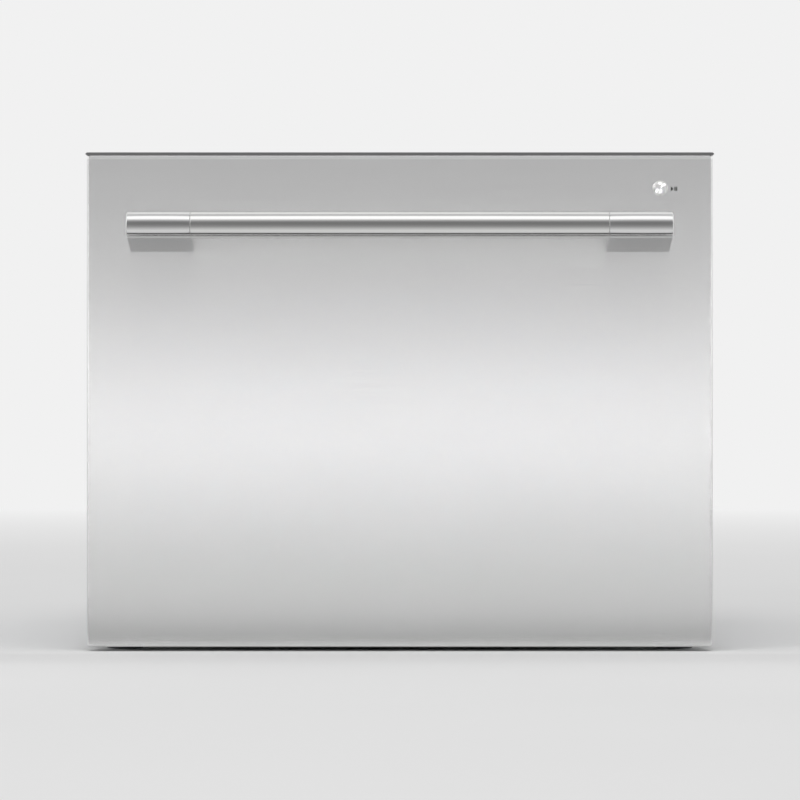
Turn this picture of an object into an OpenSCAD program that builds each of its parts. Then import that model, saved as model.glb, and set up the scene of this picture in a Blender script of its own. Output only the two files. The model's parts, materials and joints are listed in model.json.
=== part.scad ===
// Dishwasher drawer: one wide tub that slides out of a built-in chassis.
// A brushed steel front with a bar handle closes it, and a lid inside the chassis
// drops onto the tub. X is the width, the front faces -Y and Z is up. The origin
// lies on the floor, under the middle of the object.

/* [Chassis] */
// Width over the side sheets
chassis_w = 590; // [575:1:615]
// Height without the feet
chassis_h = 454; // [445:1:480]
// Depth of the side sheets
chassis_d = 549; // [540:1:580]
// Thickness of the steel sheets
sheet_t = 1.2; // [0.8:0.1:1.5]
// Length of the doubled hem along the front edge of a side sheet
hem_l = 10; // [8:0.5:14]
// Height of the base above the floor
foot_h = 20; // [14:1:35]
// Diameter of a levelling foot's pad
foot_d = 36; // [28:1:44]
// Diameter of a levelling foot's stud
stud_d = 8; // [6:1:10]
// Distance of the feet from the sheets around them
foot_in = 30; // [24:1:40]
// Diameter of the holes for the cabinet screws
cabinet_hole_d = 4.5; // [3.5:0.1:5.5]

/* [Front] */
// How far the steel front reaches past the chassis on each side
front_over = 3; // [1:0.5:5]
// Gap between the front and the floor
front_clear = 4; // [2:0.5:10]
// Thickness of the front, skin and frame together
front_t = 20; // [18:0.5:26]
// Gap between the front and the chassis
front_gap = 4; // [3:0.5:6]
// Thickness of the steel skin
skin_t = 1; // [0.6:0.1:1.2]
// Outer radius of the skin's folded edges
fold_r = 2.2; // [1.4:0.1:4]
// Thickness of the trim along the top
trim_t = 3; // [2.4:0.1:5]
// How far the trim reaches past the skin at each end
trim_over = 1.5; // [0.5:0.1:2.5]
// Height of the trim's top above the chassis
trim_lift = 1; // [0:0.5:3]
// Length of the touch strip in the trim
strip_l = 300; // [200:5:400]

/* [Handle] */
// Diameter of the bar
bar_d = 25.4; // [22:0.1:30]
// Wall of the bar's tube
bar_wall = 2; // [1.2:0.1:3]
// Length of the bar between its end brackets
bar_l = 393; // [320:1:420]
// Length of an end bracket
bracket_w = 60; // [45:1:75]
// Distance from the front's face to the middle of the bar
bar_out = 48.3; // [40:0.1:60]
// Distance from the top of the trim to the middle of the bar
bar_down = 71.3; // [62:0.1:110]
// How far an end bracket's foot reaches below the middle of the bar
root_down = 23.6; // [18:0.1:30]
// Diameter of the handle screws
handle_screw_d = 5; // [4:0.5:6]

/* [Start button] */
// Distance from the middle of the button to the side of the front
button_in = 50.2; // [28:0.1:98]
// Distance from the top of the trim to the middle of the button
button_down = 34.2; // [28:0.1:40]
// Outer diameter of the ring around the button
bezel_d = 14.2; // [12:0.1:18]
// Width of the ring
bezel_w = 1.2; // [0.8:0.1:1.6]
// Travel of the button
button_travel = 0.8; // [0.4:0.1:1.5]

/* [Tub] */
// Wall thickness of the tub
tub_wall = 3; // [2.4:0.1:4]
// Radius of the tub's corners
tub_corner_r = 45; // [30:1:60]
// Gap between the tub and the runners
tub_gap = 3.1; // [2.5:0.1:5]
// Gap between the tub's rim and the hem of the chassis
rim_gap = 3.6; // [3:0.1:5]
// Width of the rim at the back
rim_w = 12; // [10:0.5:14]
// Thickness of the rim
rim_t = 3; // [2.4:0.1:4]
// Space between the front and the tub
front_space = 12; // [10:0.5:20]
// Space between the tub and the back of the chassis
rear_space = 53; // [50:1:70]
// Space under the tub for the pump
machine_h = 90; // [86:1:100]
// Space over the tub for the lid
top_space = 48; // [44:1:56]
// Height of the ledges that carry the rack
ledge_h = 37; // [34:1:44]

/* [Lid] */
// Thickness of the lid
lid_t = 14; // [10:1:18]
// Height of the seal under the lid
seal_h = 5; // [4:0.5:8]
// Width of the seal
seal_w = 7; // [5:0.5:8]
// Lift of the lid
lid_travel = 8; // [5:0.5:10]
// Gap between the seal and the tub's rim when the lid is down
lid_gap = 0.3; // [0.2:0.05:0.5]

/* [Runners] */
// Height of a runner
rail_h = 45; // [40:1:55]
// Thickness of a runner
rail_t = 12.7; // [12.2:0.1:14]
// Length of a runner
rail_l = 500; // [440:5:520]
// Height of the runners above the base
rail_up = 155; // [130:1:200]
// Wall of the runner's sections
rail_wall = 1.5; // [1.2:0.1:1.8]
// Diameter of the runner's balls
ball_d = 3; // [2.5:0.1:3.2]
// How far the drawer slides out
travel = 500; // [440:5:520]

/* [Hose guide] */
// Length of a guide arm between its pivots
arm_l = 220; // [200:1:240]
// Width of a guide arm
arm_w = 26; // [22:1:30]
// Height of a guide arm
arm_h = 16; // [12:0.5:16.5]
// Diameter of the pivots
pivot_d = 12; // [8:0.5:14]

/* [Wash system] */
// Inner diameter of the sump
sump_d = 170; // [160:1:180]
// Wall of the sump
sump_wall = 3; // [2.5:0.1:4]
// Depth of the sump under the tub's floor
sump_deep = 18; // [17:0.5:20]
// Diameter of the motor housing
motor_d = 130; // [120:1:140]
// Diameter of the pump's rotor
rotor_d = 70; // [60:1:76]
// Diameter of the motor shaft
shaft_d = 6; // [5:0.5:8]
// Outer diameter of the heater plate
heater_d = 260; // [240:1:280]
// Diameter of the spray arm's pivot
riser_d = 16; // [14:0.5:20]
// Length of the spray arm
spray_l = 460; // [420:1:470]
// Diameter of the drain filter
filter_d = 40; // [34:1:42]

/* [Rack] */
// Diameter of the rack's wires
wire_d = 4; // [3:0.2:5]
// Gap between the rack and the tub's walls
rack_gap = 7; // [6.5:0.5:12]
// Height of the rack
rack_h = 180; // [160:1:195]
// Distance between the wires of its floor, evened out to a whole number of gaps
wire_pitch = 33; // [28:1:40]
// Radius of the rack's corners
rack_corner_r = 40; // [30:1:60]
// Height of the folding tines
tine_h = 90; // [70:1:100]
// Distance of a tine row from the middle of the tub
tine_y = 60; // [50:1:70]
// Width of a cup shelf
shelf_w = 110; // [90:1:118]
// Height of the cup shelves above the rack's floor
shelf_up = 153; // [145:1:160]
// Width of the cutlery basket
basket_w = 70; // [55:1:80]
// Height of the cutlery basket
basket_h = 125; // [100:1:135]

/* [Hidden] */

$fn = 48;
wire_sides = 6;          // sides of a straight wire
through = 1;             // how far a cut runs past the face it opens
run_gap = 0.06;          // radial gap of a running pivot
seat_gap = 0.1;          // gap around a piece that sits in another

// Colours
c_steel = [0.80, 0.80, 0.80];
c_polished = [0.88, 0.88, 0.88];
c_trim = [0.50, 0.50, 0.51];
c_galvanised = [0.68, 0.70, 0.71];
c_zinc = [0.72, 0.72, 0.70];
c_tub = [0.80, 0.81, 0.82];
c_dark = [0.20, 0.21, 0.22];
c_black = [0.07, 0.07, 0.08];
c_rack = [0.42, 0.43, 0.45];
c_blue = [0.25, 0.40, 0.60];

// Depths, from the handle bar at the front to the back of the chassis
total_d = bar_out + bar_d / 2 + front_t + front_gap + chassis_d;
y_bar = -total_d / 2 + bar_d / 2;
y_face = y_bar + bar_out;
y_panel = y_face + front_t;
y_ch = y_panel + front_gap;
y_back = y_ch + chassis_d;
y_back_in = y_back - sheet_t;

// Heights
z_ch = foot_h;
z_base = z_ch + sheet_t;
z_top = z_ch + chassis_h;
z_top_in = z_top - sheet_t;
z_trim = z_top + trim_lift;
z_skin = z_trim - trim_t;
z_front = front_clear;
z_bar = z_trim - bar_down;
z_button = z_trim - button_down;

// Widths
x_side = chassis_w / 2;
x_side_in = x_side - sheet_t;
x_hem = x_side_in - sheet_t;
x_skin = x_side + front_over;
x_rail_in = x_side_in - rail_t;
x_button = x_skin - button_in;

// Tub
tub_x = x_rail_in - tub_gap;
tub_in_x = tub_x - tub_wall;
tub_front = y_panel + front_space;
tub_back = y_back - rear_space;
tub_y = (tub_front + tub_back) / 2;
tub_half_d = (tub_back - tub_front) / 2;
tub_in_y = tub_half_d - tub_wall;
z_tub = z_ch + machine_h;
z_floor = z_tub + tub_wall;
z_rim = z_top - top_space;
rim_x = x_hem - rim_gap;
rim_corner_r = 12;
ledge_w = 50;

// Lid, drawn down on the tub's rim
seal_in = 9;
lid_in = 4.5;
z_seal = z_rim + lid_gap;
z_lid = z_seal + seal_h;
z_lid_top = z_lid + lid_t;
lid_clear = 1.6;
z_actuator = z_lid_top + lid_travel + lid_clear;
carrier_x = 230;
carrier_w = 16;
carrier_l = 40;
carrier_grip = 4;
actuator_wall = 6;

// Runners
rail_y = y_ch + hem_l + 1;
z_rail = z_ch + rail_up;
mid_h = rail_h - 2 * (rail_wall + ball_d + 0.1);
inner_h = mid_h - 2 * (rail_wall + ball_d + 0.1);
mid_web = 4.1;           // from the side sheet to the middle section's web
lip_gap = 1.2;           // between the sections' webs and lips
bracket_plate_w = 26;

// Hose guide: two arms that fold sideways as the drawer slides
link_x = -100;
link_y = tub_y - 40;
link_a = asin(travel / 4 / arm_l);
link_slip = 2 * arm_l * sin(link_a / sqrt(3)) - travel / 2 / sqrt(3);
z_lower = z_base + 2.3;
arm_gap = 1.5;
z_upper = z_lower + arm_h + arm_gap;
elbow = [link_x + arm_l * cos(link_a), link_y + arm_l * sin(link_a)];
tub_pin_y = link_y + travel / 2;
tub_pin_d = 8;
eye_d = tub_pin_d + 2 * (link_slip + 1);
duct_wall = 2.5;

// Wash system, on the axis through the middle of the tub
z_sump = z_tub - sump_deep;
sump_t = 3;
flange_w = 7;
z_motor_top = z_sump - 2.5;
z_motor = z_ch + 40;
motor_wall = 2.5;
stator_out = motor_d / 2 - motor_wall - 4;
stator_w = 13;
magnet_r = stator_out - stator_w - 1;
z_rotor = z_sump + sump_t + 1;
rotor_t = 8;
plate_r = sump_d / 2 + 15;
plate_t = 2.5;
z_plate = z_floor + plate_t;
riser_r = 30;
filter_x = sump_d / 2 - filter_d / 2 - 3;
spray_t = 12;
z_spray = z_plate + 11.5;
z_pin_top = z_spray + spray_t - 0.6;

// Rack
rack_x = tub_in_x - rack_gap;
rack_y = tub_in_y - rack_gap;
z_rack = z_floor + ledge_h + wire_d / 2;
weld = 0.4;
z_cross = z_rack + wire_d - weld * 2;
z_rack_top = z_rack + rack_h;
span_x = rack_x - rack_corner_r;
span_y = rack_y - rack_corner_r;
wires_x = round(span_x / wire_pitch);
wires_y = round(span_y / wire_pitch);
step_x = span_x / wires_x;
step_y = span_y / wires_y;
rim_wire = wire_d + 1;
z_rack_floor = z_cross + wire_d / 2;
z_tine = z_rack_floor + wire_d / 2 + 1.3;
tine_d = wire_d - 0.8;
clip_w = 8;
clip_wall = 3;
basket_x = rack_x - wire_d / 2 - 11 - basket_w / 2;
basket_l = 200;
basket_wall = 2.5;
tine_end = basket_x - basket_w / 2 - 40;
shelf_in = 6;
shelf_x = rack_x - shelf_in;
z_shelf = z_rack + shelf_up;
shelf_half = step_y * (wires_y - 1.5);

// Rear connection pan
pan_x = 185;
pan_w = 170;
pan_h = 70;
pan_z = z_ch + 50;
pan_d = 30;
y_pan = y_back - pan_d;
inlet_x = pan_x - 52;
drain_x = pan_x;
power_x = pan_x + 52;
thread_d = 26.4;
spigot_d = 20;
connector_l = 20;

// Dispenser on the inside of the tub's front wall
disp_x = 130;
disp_w = 140;
disp_h = 70;
disp_t = 18;
disp_y = tub_front + tub_wall;
z_disp = z_rim - 81;
cup_w = 56;
cup_h = 48;
cup_x = disp_x - disp_w / 2 + 36;
hinge_pin_d = 3;
z_hinge = z_disp + disp_h - 7;
y_hinge = disp_y + disp_t + 1.5;
flap_t = 2.5;
cap_d = 36;
cap_x = disp_x + 38;
cap_stem_d = 8;

// Modules under the tub
module_w = 110;
module_l = 115;
module_h = 38;
z_module = z_tub - 46;
module_y = tub_front + 20 + module_l / 2;
module_x = tub_x - 18 - module_w / 2;
fan_r = 40;
fan_pin_d = 6;

// ---------- shared shapes ----------

// Rounded rectangle in the plane, its middle at the origin
module rounded(w, d, r) {
    square([w - 2 * r, d], center = true);
    square([w, d - 2 * r], center = true);
    for (x = [-1, 1], y = [-1, 1])
        translate([x * (w / 2 - r), y * (d / 2 - r)]) circle(r);
}

// Box from its lowest corner to its highest one
module block(lo, hi) {
    translate(lo) cube(hi - lo);
}

// Rounded slab between two heights
module slab(w, d, r, z0, z1, y = 0) {
    translate([0, y, z0]) linear_extrude(z1 - z0) rounded(w, d, r);
}

// Upright cylinder between two heights
module post(d, z0, z1, x = 0, y = 0) {
    translate([x, y, z0]) cylinder(d = d, h = z1 - z0);
}

// Cylinder along Y
module rod_y(d, y0, y1, x, z) {
    translate([x, y1, z]) rotate([90, 0, 0]) cylinder(d = d, h = y1 - y0);
}

// Cylinder along X
module rod_x(d, x0, x1, y, z) {
    translate([x0, y, z]) rotate([0, 90, 0]) cylinder(d = d, h = x1 - x0);
}

// Straight wires along each axis
module wire_x(x0, x1, y, z, d = wire_d) {
    rod_x(d, x0, x1, y, z, $fn = wire_sides);
}
module wire_y(y0, y1, x, z, d = wire_d) {
    rod_y(d, y0, y1, x, z, $fn = wire_sides);
}
module wire_z(z0, z1, x, y, d = wire_d) {
    post(d, z0, z1, x, y, $fn = wire_sides);
}

// Draws its children on the side of +X or -X
module on_side(side) {
    if (side > 0) children();
    else mirror([1, 0, 0]) children();
}

// ---------- chassis ----------

module chassis_base() {
    flange_y = rail_y;
    color(c_galvanised) difference() {
        union() {
            block([-x_side_in, y_ch, z_ch], [x_side_in, y_back, z_base]);
            block([-x_hem, y_ch, z_ch], [x_hem, y_ch + sheet_t, z_ch + 12]);
            for (s = [-1, 1]) on_side(s)
                block([x_hem, flange_y, z_ch], [x_side_in, y_back_in, z_ch + 15]);
            feet_places() post(stud_d + 8, z_base - 0.2, z_base + 6);
        }
        feet_places() post(stud_d + 2 * seat_gap, z_ch - through, z_base + 6 + through);
    }
}

// Puts its children at the four feet
module feet_places() {
    for (x = [-1, 1], y = [y_ch + foot_in, y_back - foot_in])
        translate([x * (x_side - foot_in), y, 0]) children();
}

// Places of the holes in a side sheet
cabinet_y = y_ch + hem_l / 2;
cabinet_z = [z_ch + 40, z_top - 40];
sheet_screw_d = 3.5;
sheet_screw_z = [z_ch + 8, z_top - 6];
sheet_screw_y = [rail_y + 30, tub_y, y_back - 40];

module chassis_sides() {
    color(c_galvanised) for (s = [-1, 1]) on_side(s) difference() {
        union() {
            block([x_side_in, y_ch, z_ch], [x_side, y_back, z_top]);
            block([x_hem, y_ch, z_ch + 14], [x_side_in + 0.1, y_ch + hem_l, z_top_in]);
        }
        for (z = cabinet_z) rod_x(cabinet_hole_d, x_hem - through, x_side + through, cabinet_y, z);
        for (z = sheet_screw_z, y = sheet_screw_y)
            rod_x(sheet_screw_d + 2 * seat_gap, x_side_in - through, x_side + through, y, z);
    }
}

module chassis_top() {
    stiffener_y = tub_half_d * 0.57;
    color(c_galvanised) {
        block([-x_side_in, y_ch, z_top_in], [x_side_in, y_back, z_top]);
        for (s = [-1, 1]) on_side(s)
            block([x_hem, rail_y, z_top - 12], [x_side_in, y_back_in, z_top_in + 0.1]);
        for (y = [tub_y - stiffener_y, tub_y + stiffener_y])
            block([-x_hem + 20, y - 10, z_top_in - 5], [x_hem - 20, y + 10, z_top_in + 0.1]);
    }
}

module chassis_back() {
    vent_w = 28;
    vent_h = 3;
    vent_columns = 6;
    vent_rows = 5;
    vent_x = -x_side / 3;
    vent_z = z_ch + chassis_h * 0.375;
    color(c_galvanised) difference() {
        union() {
            block([-x_side_in, y_back_in, z_base], [x_side_in, y_back, z_top_in]);
            block([pan_x - pan_w / 2, y_pan, pan_z - pan_h / 2],
                  [pan_x + pan_w / 2, y_back, pan_z + pan_h / 2]);
        }
        block([pan_x - pan_w / 2 + sheet_t, y_pan + sheet_t, pan_z - pan_h / 2 + sheet_t],
              [pan_x + pan_w / 2 - sheet_t, y_back + through, pan_z + pan_h / 2 - sheet_t]);
        rod_y(16, y_pan - through, y_pan + 3, inlet_x, pan_z);
        rod_y(16, y_pan - through, y_pan + 3, drain_x, pan_z);
        for (i = [0 : vent_columns - 1], j = [0 : vent_rows - 1])
            translate([vent_x + (i - (vent_columns - 1) / 2) * (vent_w + 12), y_back,
                       vent_z + (j - (vent_rows - 1) / 2) * (vent_h + 7)])
                cube([vent_w, 4 * sheet_t, vent_h], center = true);
    }
}

module opening_trim() {
    side_t = 1.6;
    drop = 10;
    head_d = cabinet_hole_d + 5;
    color(c_dark) difference() {
        union() {
            for (s = [-1, 1]) on_side(s)
                block([x_hem - side_t, y_ch, z_ch + 14], [x_hem, y_ch + hem_l, z_top_in - drop]);
            block([-x_hem, y_ch, z_top_in - drop], [x_hem, y_ch + hem_l, z_top_in]);
        }
        for (s = [-1, 1], z = cabinet_z) on_side(s)
            rod_x(head_d, x_hem - side_t - through, x_hem + through, cabinet_y, z);
    }
}

module levelling_feet() {
    color(c_dark) feet_places() {
        post(foot_d, 0, 5);
        post(foot_d - 8, 4.9, 8);
        post(stud_d, 7.9, z_base + 10);
        post(stud_d + 5, 8, 13, $fn = 6);
    }
}

module chassis_screws() {
    color(c_zinc) for (s = [-1, 1], z = sheet_screw_z, y = sheet_screw_y) on_side(s) {
        rod_x(7.5, x_side, x_side + 1.8, y, z);
        rod_x(sheet_screw_d, x_side_in + 0.1, x_side + 0.1, y, z);
    }
}

// ---------- runners ----------

// A section open to -X: its web at x_web, its lips reaching to x_lip
module channel(x_web, x_lip, h, y0, l) {
    block([x_web - rail_wall, y0, z_rail - h / 2], [x_web, y0 + l, z_rail + h / 2]);
    for (z = [z_rail - h / 2, z_rail + h / 2 - rail_wall])
        block([min(x_web, x_lip), y0, z], [max(x_web, x_lip), y0 + l, z + rail_wall]);
}

module outer_runners() {
    color(c_zinc) for (s = [-1, 1]) on_side(s)
        channel(x_side_in, x_side_in - rail_t + rail_wall + lip_gap, rail_h, rail_y, rail_l);
}

// The middle section carries its balls in a strip above and below it: towards the outer
// section in its back half, and towards the inner section in its front half
module runner_mid(side) {
    x_web = x_side_in - mid_web;
    x_lip = x_side_in - rail_t + lip_gap;
    ball_r = (ball_d - 0.2) / 2;
    sunk = 0.2;
    pitch = 32;
    balls = floor((rail_l / 2 - 30) / pitch);
    color(c_zinc) on_side(side) {
        channel(x_web, x_lip, mid_h, rail_y, rail_l);
        for (s = [-1, 1], row = [[rail_l / 2, mid_h / 2 + ball_r - sunk],
                                 [15, mid_h / 2 - rail_wall - ball_r + sunk]])
            translate([(x_web + x_lip) / 2, rail_y + row[0], z_rail + s * row[1]]) {
                translate([0, balls * pitch / 2, 0]) cube([ball_r, balls * pitch, ball_r], center = true);
                for (i = [0 : balls - 1]) translate([0, (i + 0.5) * pitch, 0]) sphere(ball_r, $fn = 24);
            }
    }
}

module inner_runners() {
    x_web = x_rail_in;
    color(c_zinc) for (s = [-1, 1]) on_side(s) {
        channel(x_web + rail_wall, x_side_in - mid_web - rail_wall - lip_gap, inner_h, rail_y, rail_l);
        // front bracket on the back of the panel
        block([x_web, y_panel, z_rail - inner_h / 2], [x_web + rail_wall, rail_y + 0.1, z_rail + inner_h / 2]);
        block([x_web - bracket_plate_w, y_panel, z_rail - 20], [x_web + 0.1, y_panel + rail_wall, z_rail + 20]);
        // pads that carry the tub
        for (y = [tub_front + tub_corner_r + 5, tub_y - 20, tub_back - tub_corner_r - 45])
            block([tub_x, y, z_rail - inner_h / 2 + 2], [x_web + 0.1, y + 40, z_rail + inner_h / 2 - 2]);
    }
}

// ---------- hose guide ----------

// An arm lying along X between its pivots, drawn from height z
module guide_arm(z, x0, x1) {
    difference() {
        union() {
            block([x0, -arm_w / 2, z], [x1, arm_w / 2, z + arm_h]);
            post(arm_w, z, z + arm_h, x0);
            post(arm_w + max(0, eye_d + 6 - arm_w), z, z + arm_h, x1);
        }
        block([x0 + arm_w, -arm_w / 2 + duct_wall, z + duct_wall],
              [x1 - arm_w, arm_w / 2 - duct_wall, z + arm_h + through]);
    }
}

module link_anchor() {
    color(c_dark) translate([link_x, link_y, 0]) {
        block([-34, -24, z_base], [24, 24, z_base + 1.9]);
        post(pivot_d, z_base + 1.8, z_lower + arm_h - 0.5);
        block([-34, -12, z_base + 1.8], [-28, 12, z_lower + arm_h - 2]);
    }
}

module link_lower() {
    color(c_dark) translate([link_x, link_y, 0]) rotate([0, 0, link_a]) {
        difference() {
            union() {
                block([0, -arm_w / 2, z_lower], [arm_l, arm_w / 2, z_lower + arm_h]);
                post(arm_w, z_lower, z_lower + arm_h);
                post(arm_w, z_lower, z_lower + arm_h, arm_l);
            }
            block([arm_w, -arm_w / 2 + duct_wall, z_lower + duct_wall],
                  [arm_l - arm_w, arm_w / 2 - duct_wall, z_lower + arm_h + through]);
            post(pivot_d + 2 * run_gap, z_lower - through, z_lower + arm_h + through);
        }
        post(pivot_d, z_lower + arm_h - 0.1, z_upper + arm_h - 0.5, arm_l);
    }
}

module link_upper() {
    color(c_dark) translate([elbow[0], elbow[1], 0]) rotate([0, 0, 180 - link_a]) difference() {
        guide_arm(z_upper, 0, arm_l);
        post(pivot_d + 2 * run_gap, z_upper - through, z_upper + arm_h + through);
        post(eye_d, z_upper - through, z_upper + arm_h + through, arm_l);
    }
}

module link_tub_bracket() {
    color(c_dark) translate([link_x, tub_pin_y, 0]) {
        post(44, z_tub - 3, z_tub);
        post(20, z_upper + arm_h + 1.5, z_tub - 2.9);
        post(tub_pin_d, z_upper + 1, z_upper + arm_h + 1.6);
    }
}

// ---------- things on the base and at the back ----------

module flood_sensor() {
    x = -tub_x + 60;
    y = tub_y + 90;
    color(c_dark) translate([x, y, 0]) difference() {
        union() {
            post(34, z_base, z_base + 18);
            block([-8, 0, z_base], [8, 34, z_base + 12]);
        }
        post(28, z_base + 2, z_base + 18 + through);
        for (a = [0 : 45 : 135]) rotate([0, 0, a])
            block([-20, -1.5, z_base + 4], [20, 1.5, z_base + 12]);
    }
    color(c_tub) translate([x, y, 0]) post(24, z_base + 3, z_base + 15);
}

// A quarter bend at a corner, from direction u into direction v
module bend(corner, u, v, r, d) {
    c = corner + r * (v - u);
    w = cross(-v, u);
    multmatrix([[-v[0], u[0], w[0], c[0]], [-v[1], u[1], w[1], c[1]], [-v[2], u[2], w[2], c[2]]])
        rotate_extrude(angle = 90) translate([r, 0]) circle(d = d);
}

function unit(v) = v / norm(v);

// A run of hose through a list of corners, each turn a right angle
module hose(points, d) {
    r = d * 0.75;
    last = len(points) - 1;
    for (i = [0 : last - 1]) {
        u = unit(points[i + 1] - points[i]);
        a = points[i] + (i > 0 ? r * u : [0, 0, 0]);
        b = points[i + 1] - (i < last - 1 ? r * u : [0, 0, 0]);
        translate(a) rotate([0, acos(u[2]), atan2(u[1], u[0])]) cylinder(d = d, h = norm(b - a));
        if (i < last - 1) bend(points[i + 1], u, unit(points[i + 2] - points[i + 1]), r, d);
    }
}

module supply_hoses() {
    drain_hose_d = 15;
    fill_hose_d = 10;
    y_run = tub_back + 6;
    end_x = link_x - 34;
    x_run = end_x - drain_hose_d - 3;
    color(c_dark) hose([
        [drain_x, y_pan, pan_z], [drain_x, y_run, pan_z], [drain_x, y_run, z_base + 11],
        [x_run, y_run, z_base + 11], [x_run, link_y + 2, z_base + 11], [end_x, link_y + 2, z_base + 11]
    ], drain_hose_d);
    color(c_tub) hose([
        [inlet_x, y_pan, pan_z], [inlet_x, y_run - 2, pan_z], [inlet_x, y_run - 2, z_base + 26],
        [x_run - 16, y_run - 2, z_base + 26], [x_run - 16, y_run - 2, z_base + 7],
        [x_run - 16, link_y - 16, z_base + 7], [end_x, link_y - 16, z_base + 7]
    ], fill_hose_d);
}

module inlet_valve() {
    y_in = y_pan + sheet_t;
    color(c_tub) {
        difference() {
            rod_y(thread_d, y_in + 7, y_in + 7 + connector_l, inlet_x, pan_z);
            rod_y(thread_d - 7, y_in + 12, y_in + 7 + connector_l + through, inlet_x, pan_z);
        }
        block([inlet_x - 21, y_in, pan_z - 21], [inlet_x + 21, y_in + 7.1, pan_z + 21]);
    }
}

module drain_spigot() {
    y_in = y_pan + sheet_t;
    color(c_dark) difference() {
        union() {
            rod_y(36, y_in, y_in + 4, drain_x, pan_z);
            rod_y(spigot_d, y_in + 3.9, y_in + 7 + connector_l, drain_x, pan_z);
        }
        rod_y(spigot_d - 5, y_in + 3, y_in + 7 + connector_l + through, drain_x, pan_z);
    }
}

module power_inlet() {
    y_in = y_pan + sheet_t;
    color(c_black) {
        difference() {
            block([power_x - 14, y_in, pan_z - 12], [power_x + 14, y_in + 22, pan_z + 12]);
            block([power_x - 12, y_in + 6, pan_z - 9], [power_x + 12, y_in + 22 + through, pan_z + 9]);
        }
        for (x = [-7, 0, 7])
            block([power_x + x - 1, y_in + 5.9, pan_z - 2.5], [power_x + x + 1, y_in + 19, pan_z + 2.5]);
    }
}

// ---------- lid ----------

module lid_outline(inset) {
    w = 2 * (rim_x - inset);
    d = tub_back + rim_w - y_panel - 2 * inset;
    translate([0, (tub_back + rim_w + y_panel) / 2])
        rounded(w, d, max(rim_corner_r, tub_corner_r - inset));
}

module lid_panel() {
    pockets_x = 4;
    pockets_y = 3;
    rib = 12;
    cell_w = (2 * (rim_x - lid_in) - 60) / pockets_x;
    cell_d = (2 * tub_half_d - 40) / pockets_y;
    color(c_tub) difference() {
        translate([0, 0, z_lid]) linear_extrude(lid_t) lid_outline(lid_in);
        for (i = [0 : pockets_x - 1], j = [0 : pockets_y - 1])
            translate([(i + 0.5 - pockets_x / 2) * cell_w, tub_y + (j + 0.5 - pockets_y / 2) * cell_d, 0])
                if (pocket_free((i + 0.5 - pockets_x / 2) * cell_w, cell_w / 2, j - (pockets_y - 1) / 2))
                    slab(cell_w - rib, cell_d - rib, 8, z_lid + 3, z_lid_top + through);
    }
}
// A pocket stays closed where a carrier stands on the lid
function pocket_free(x, half, row) =
    row != 0 || abs(abs(x) - carrier_x) > half + carrier_w;

module lid_seal() {
    color(c_dark) translate([0, 0, z_seal]) linear_extrude(seal_h) difference() {
        lid_outline(seal_in - seal_w / 2);
        lid_outline(seal_in + seal_w / 2);
    }
}

module lid_carriers() {
    color(c_dark) for (s = [-1, 1])
        block([s * carrier_x - carrier_w / 2, tub_y - carrier_l / 2, z_lid_top],
              [s * carrier_x + carrier_w / 2, tub_y + carrier_l / 2, z_actuator + carrier_grip]);
}

module lid_actuators() {
    slack = 0.4;
    color(c_dark) for (s = [-1, 1]) difference() {
        block([s * carrier_x - carrier_w / 2 - actuator_wall, tub_y - carrier_l / 2 - actuator_wall, z_actuator],
              [s * carrier_x + carrier_w / 2 + actuator_wall, tub_y + carrier_l / 2 + actuator_wall, z_top_in]);
        block([s * carrier_x - carrier_w / 2 - slack, tub_y - carrier_l / 2 - slack, z_actuator - through],
              [s * carrier_x + carrier_w / 2 + slack, tub_y + carrier_l / 2 + slack,
               min(z_top_in + through, z_actuator + carrier_grip + lid_travel + slack)]);
    }
}

// ---------- front ----------

// The panel's outline folded at its sides and its bottom, drawn in by an inset
module folded(inset, open_top = 0) {
    r = max(0.2, fold_r - inset);
    w = 2 * (x_skin - inset);
    intersection() {
        translate([0, y_face + inset + front_t, z_front + inset - 0.01])
            linear_extrude(z_skin - z_front - inset + open_top + 0.01) rounded(w, 2 * front_t, r);
        translate([-x_skin - 1, 0, 0]) rotate([90, 0, 90]) linear_extrude(2 * x_skin + 2)
            translate([y_face + inset + front_t, z_skin + open_top])
                rounded(2 * front_t, 2 * (z_skin - z_front - inset + open_top), r);
    }
}

module front_skin() {
    color(c_steel) difference() {
        folded(0);
        folded(skin_t, through);
        block([-x_skin - 1, y_panel, z_front - 1], [x_skin + 1, y_panel + 3 * front_t, z_skin + 1]);
        rod_y(bezel_d + 2 * seat_gap, y_face - through, y_face + skin_t + through, x_button, z_button);
        handle_screw_places()
            rod_y(handle_screw_d + 2 * seat_gap, y_face - through, y_face + skin_t + through, 0, 0);
    }
}

// Puts its children at the four handle screws
bracket_x = bar_l / 2 + bracket_w / 2;
module handle_screw_places() {
    for (s = [-1, 1], z = [4, -root_down + 9])
        translate([s * bracket_x, 0, z_bar + z]) children();
}

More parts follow.
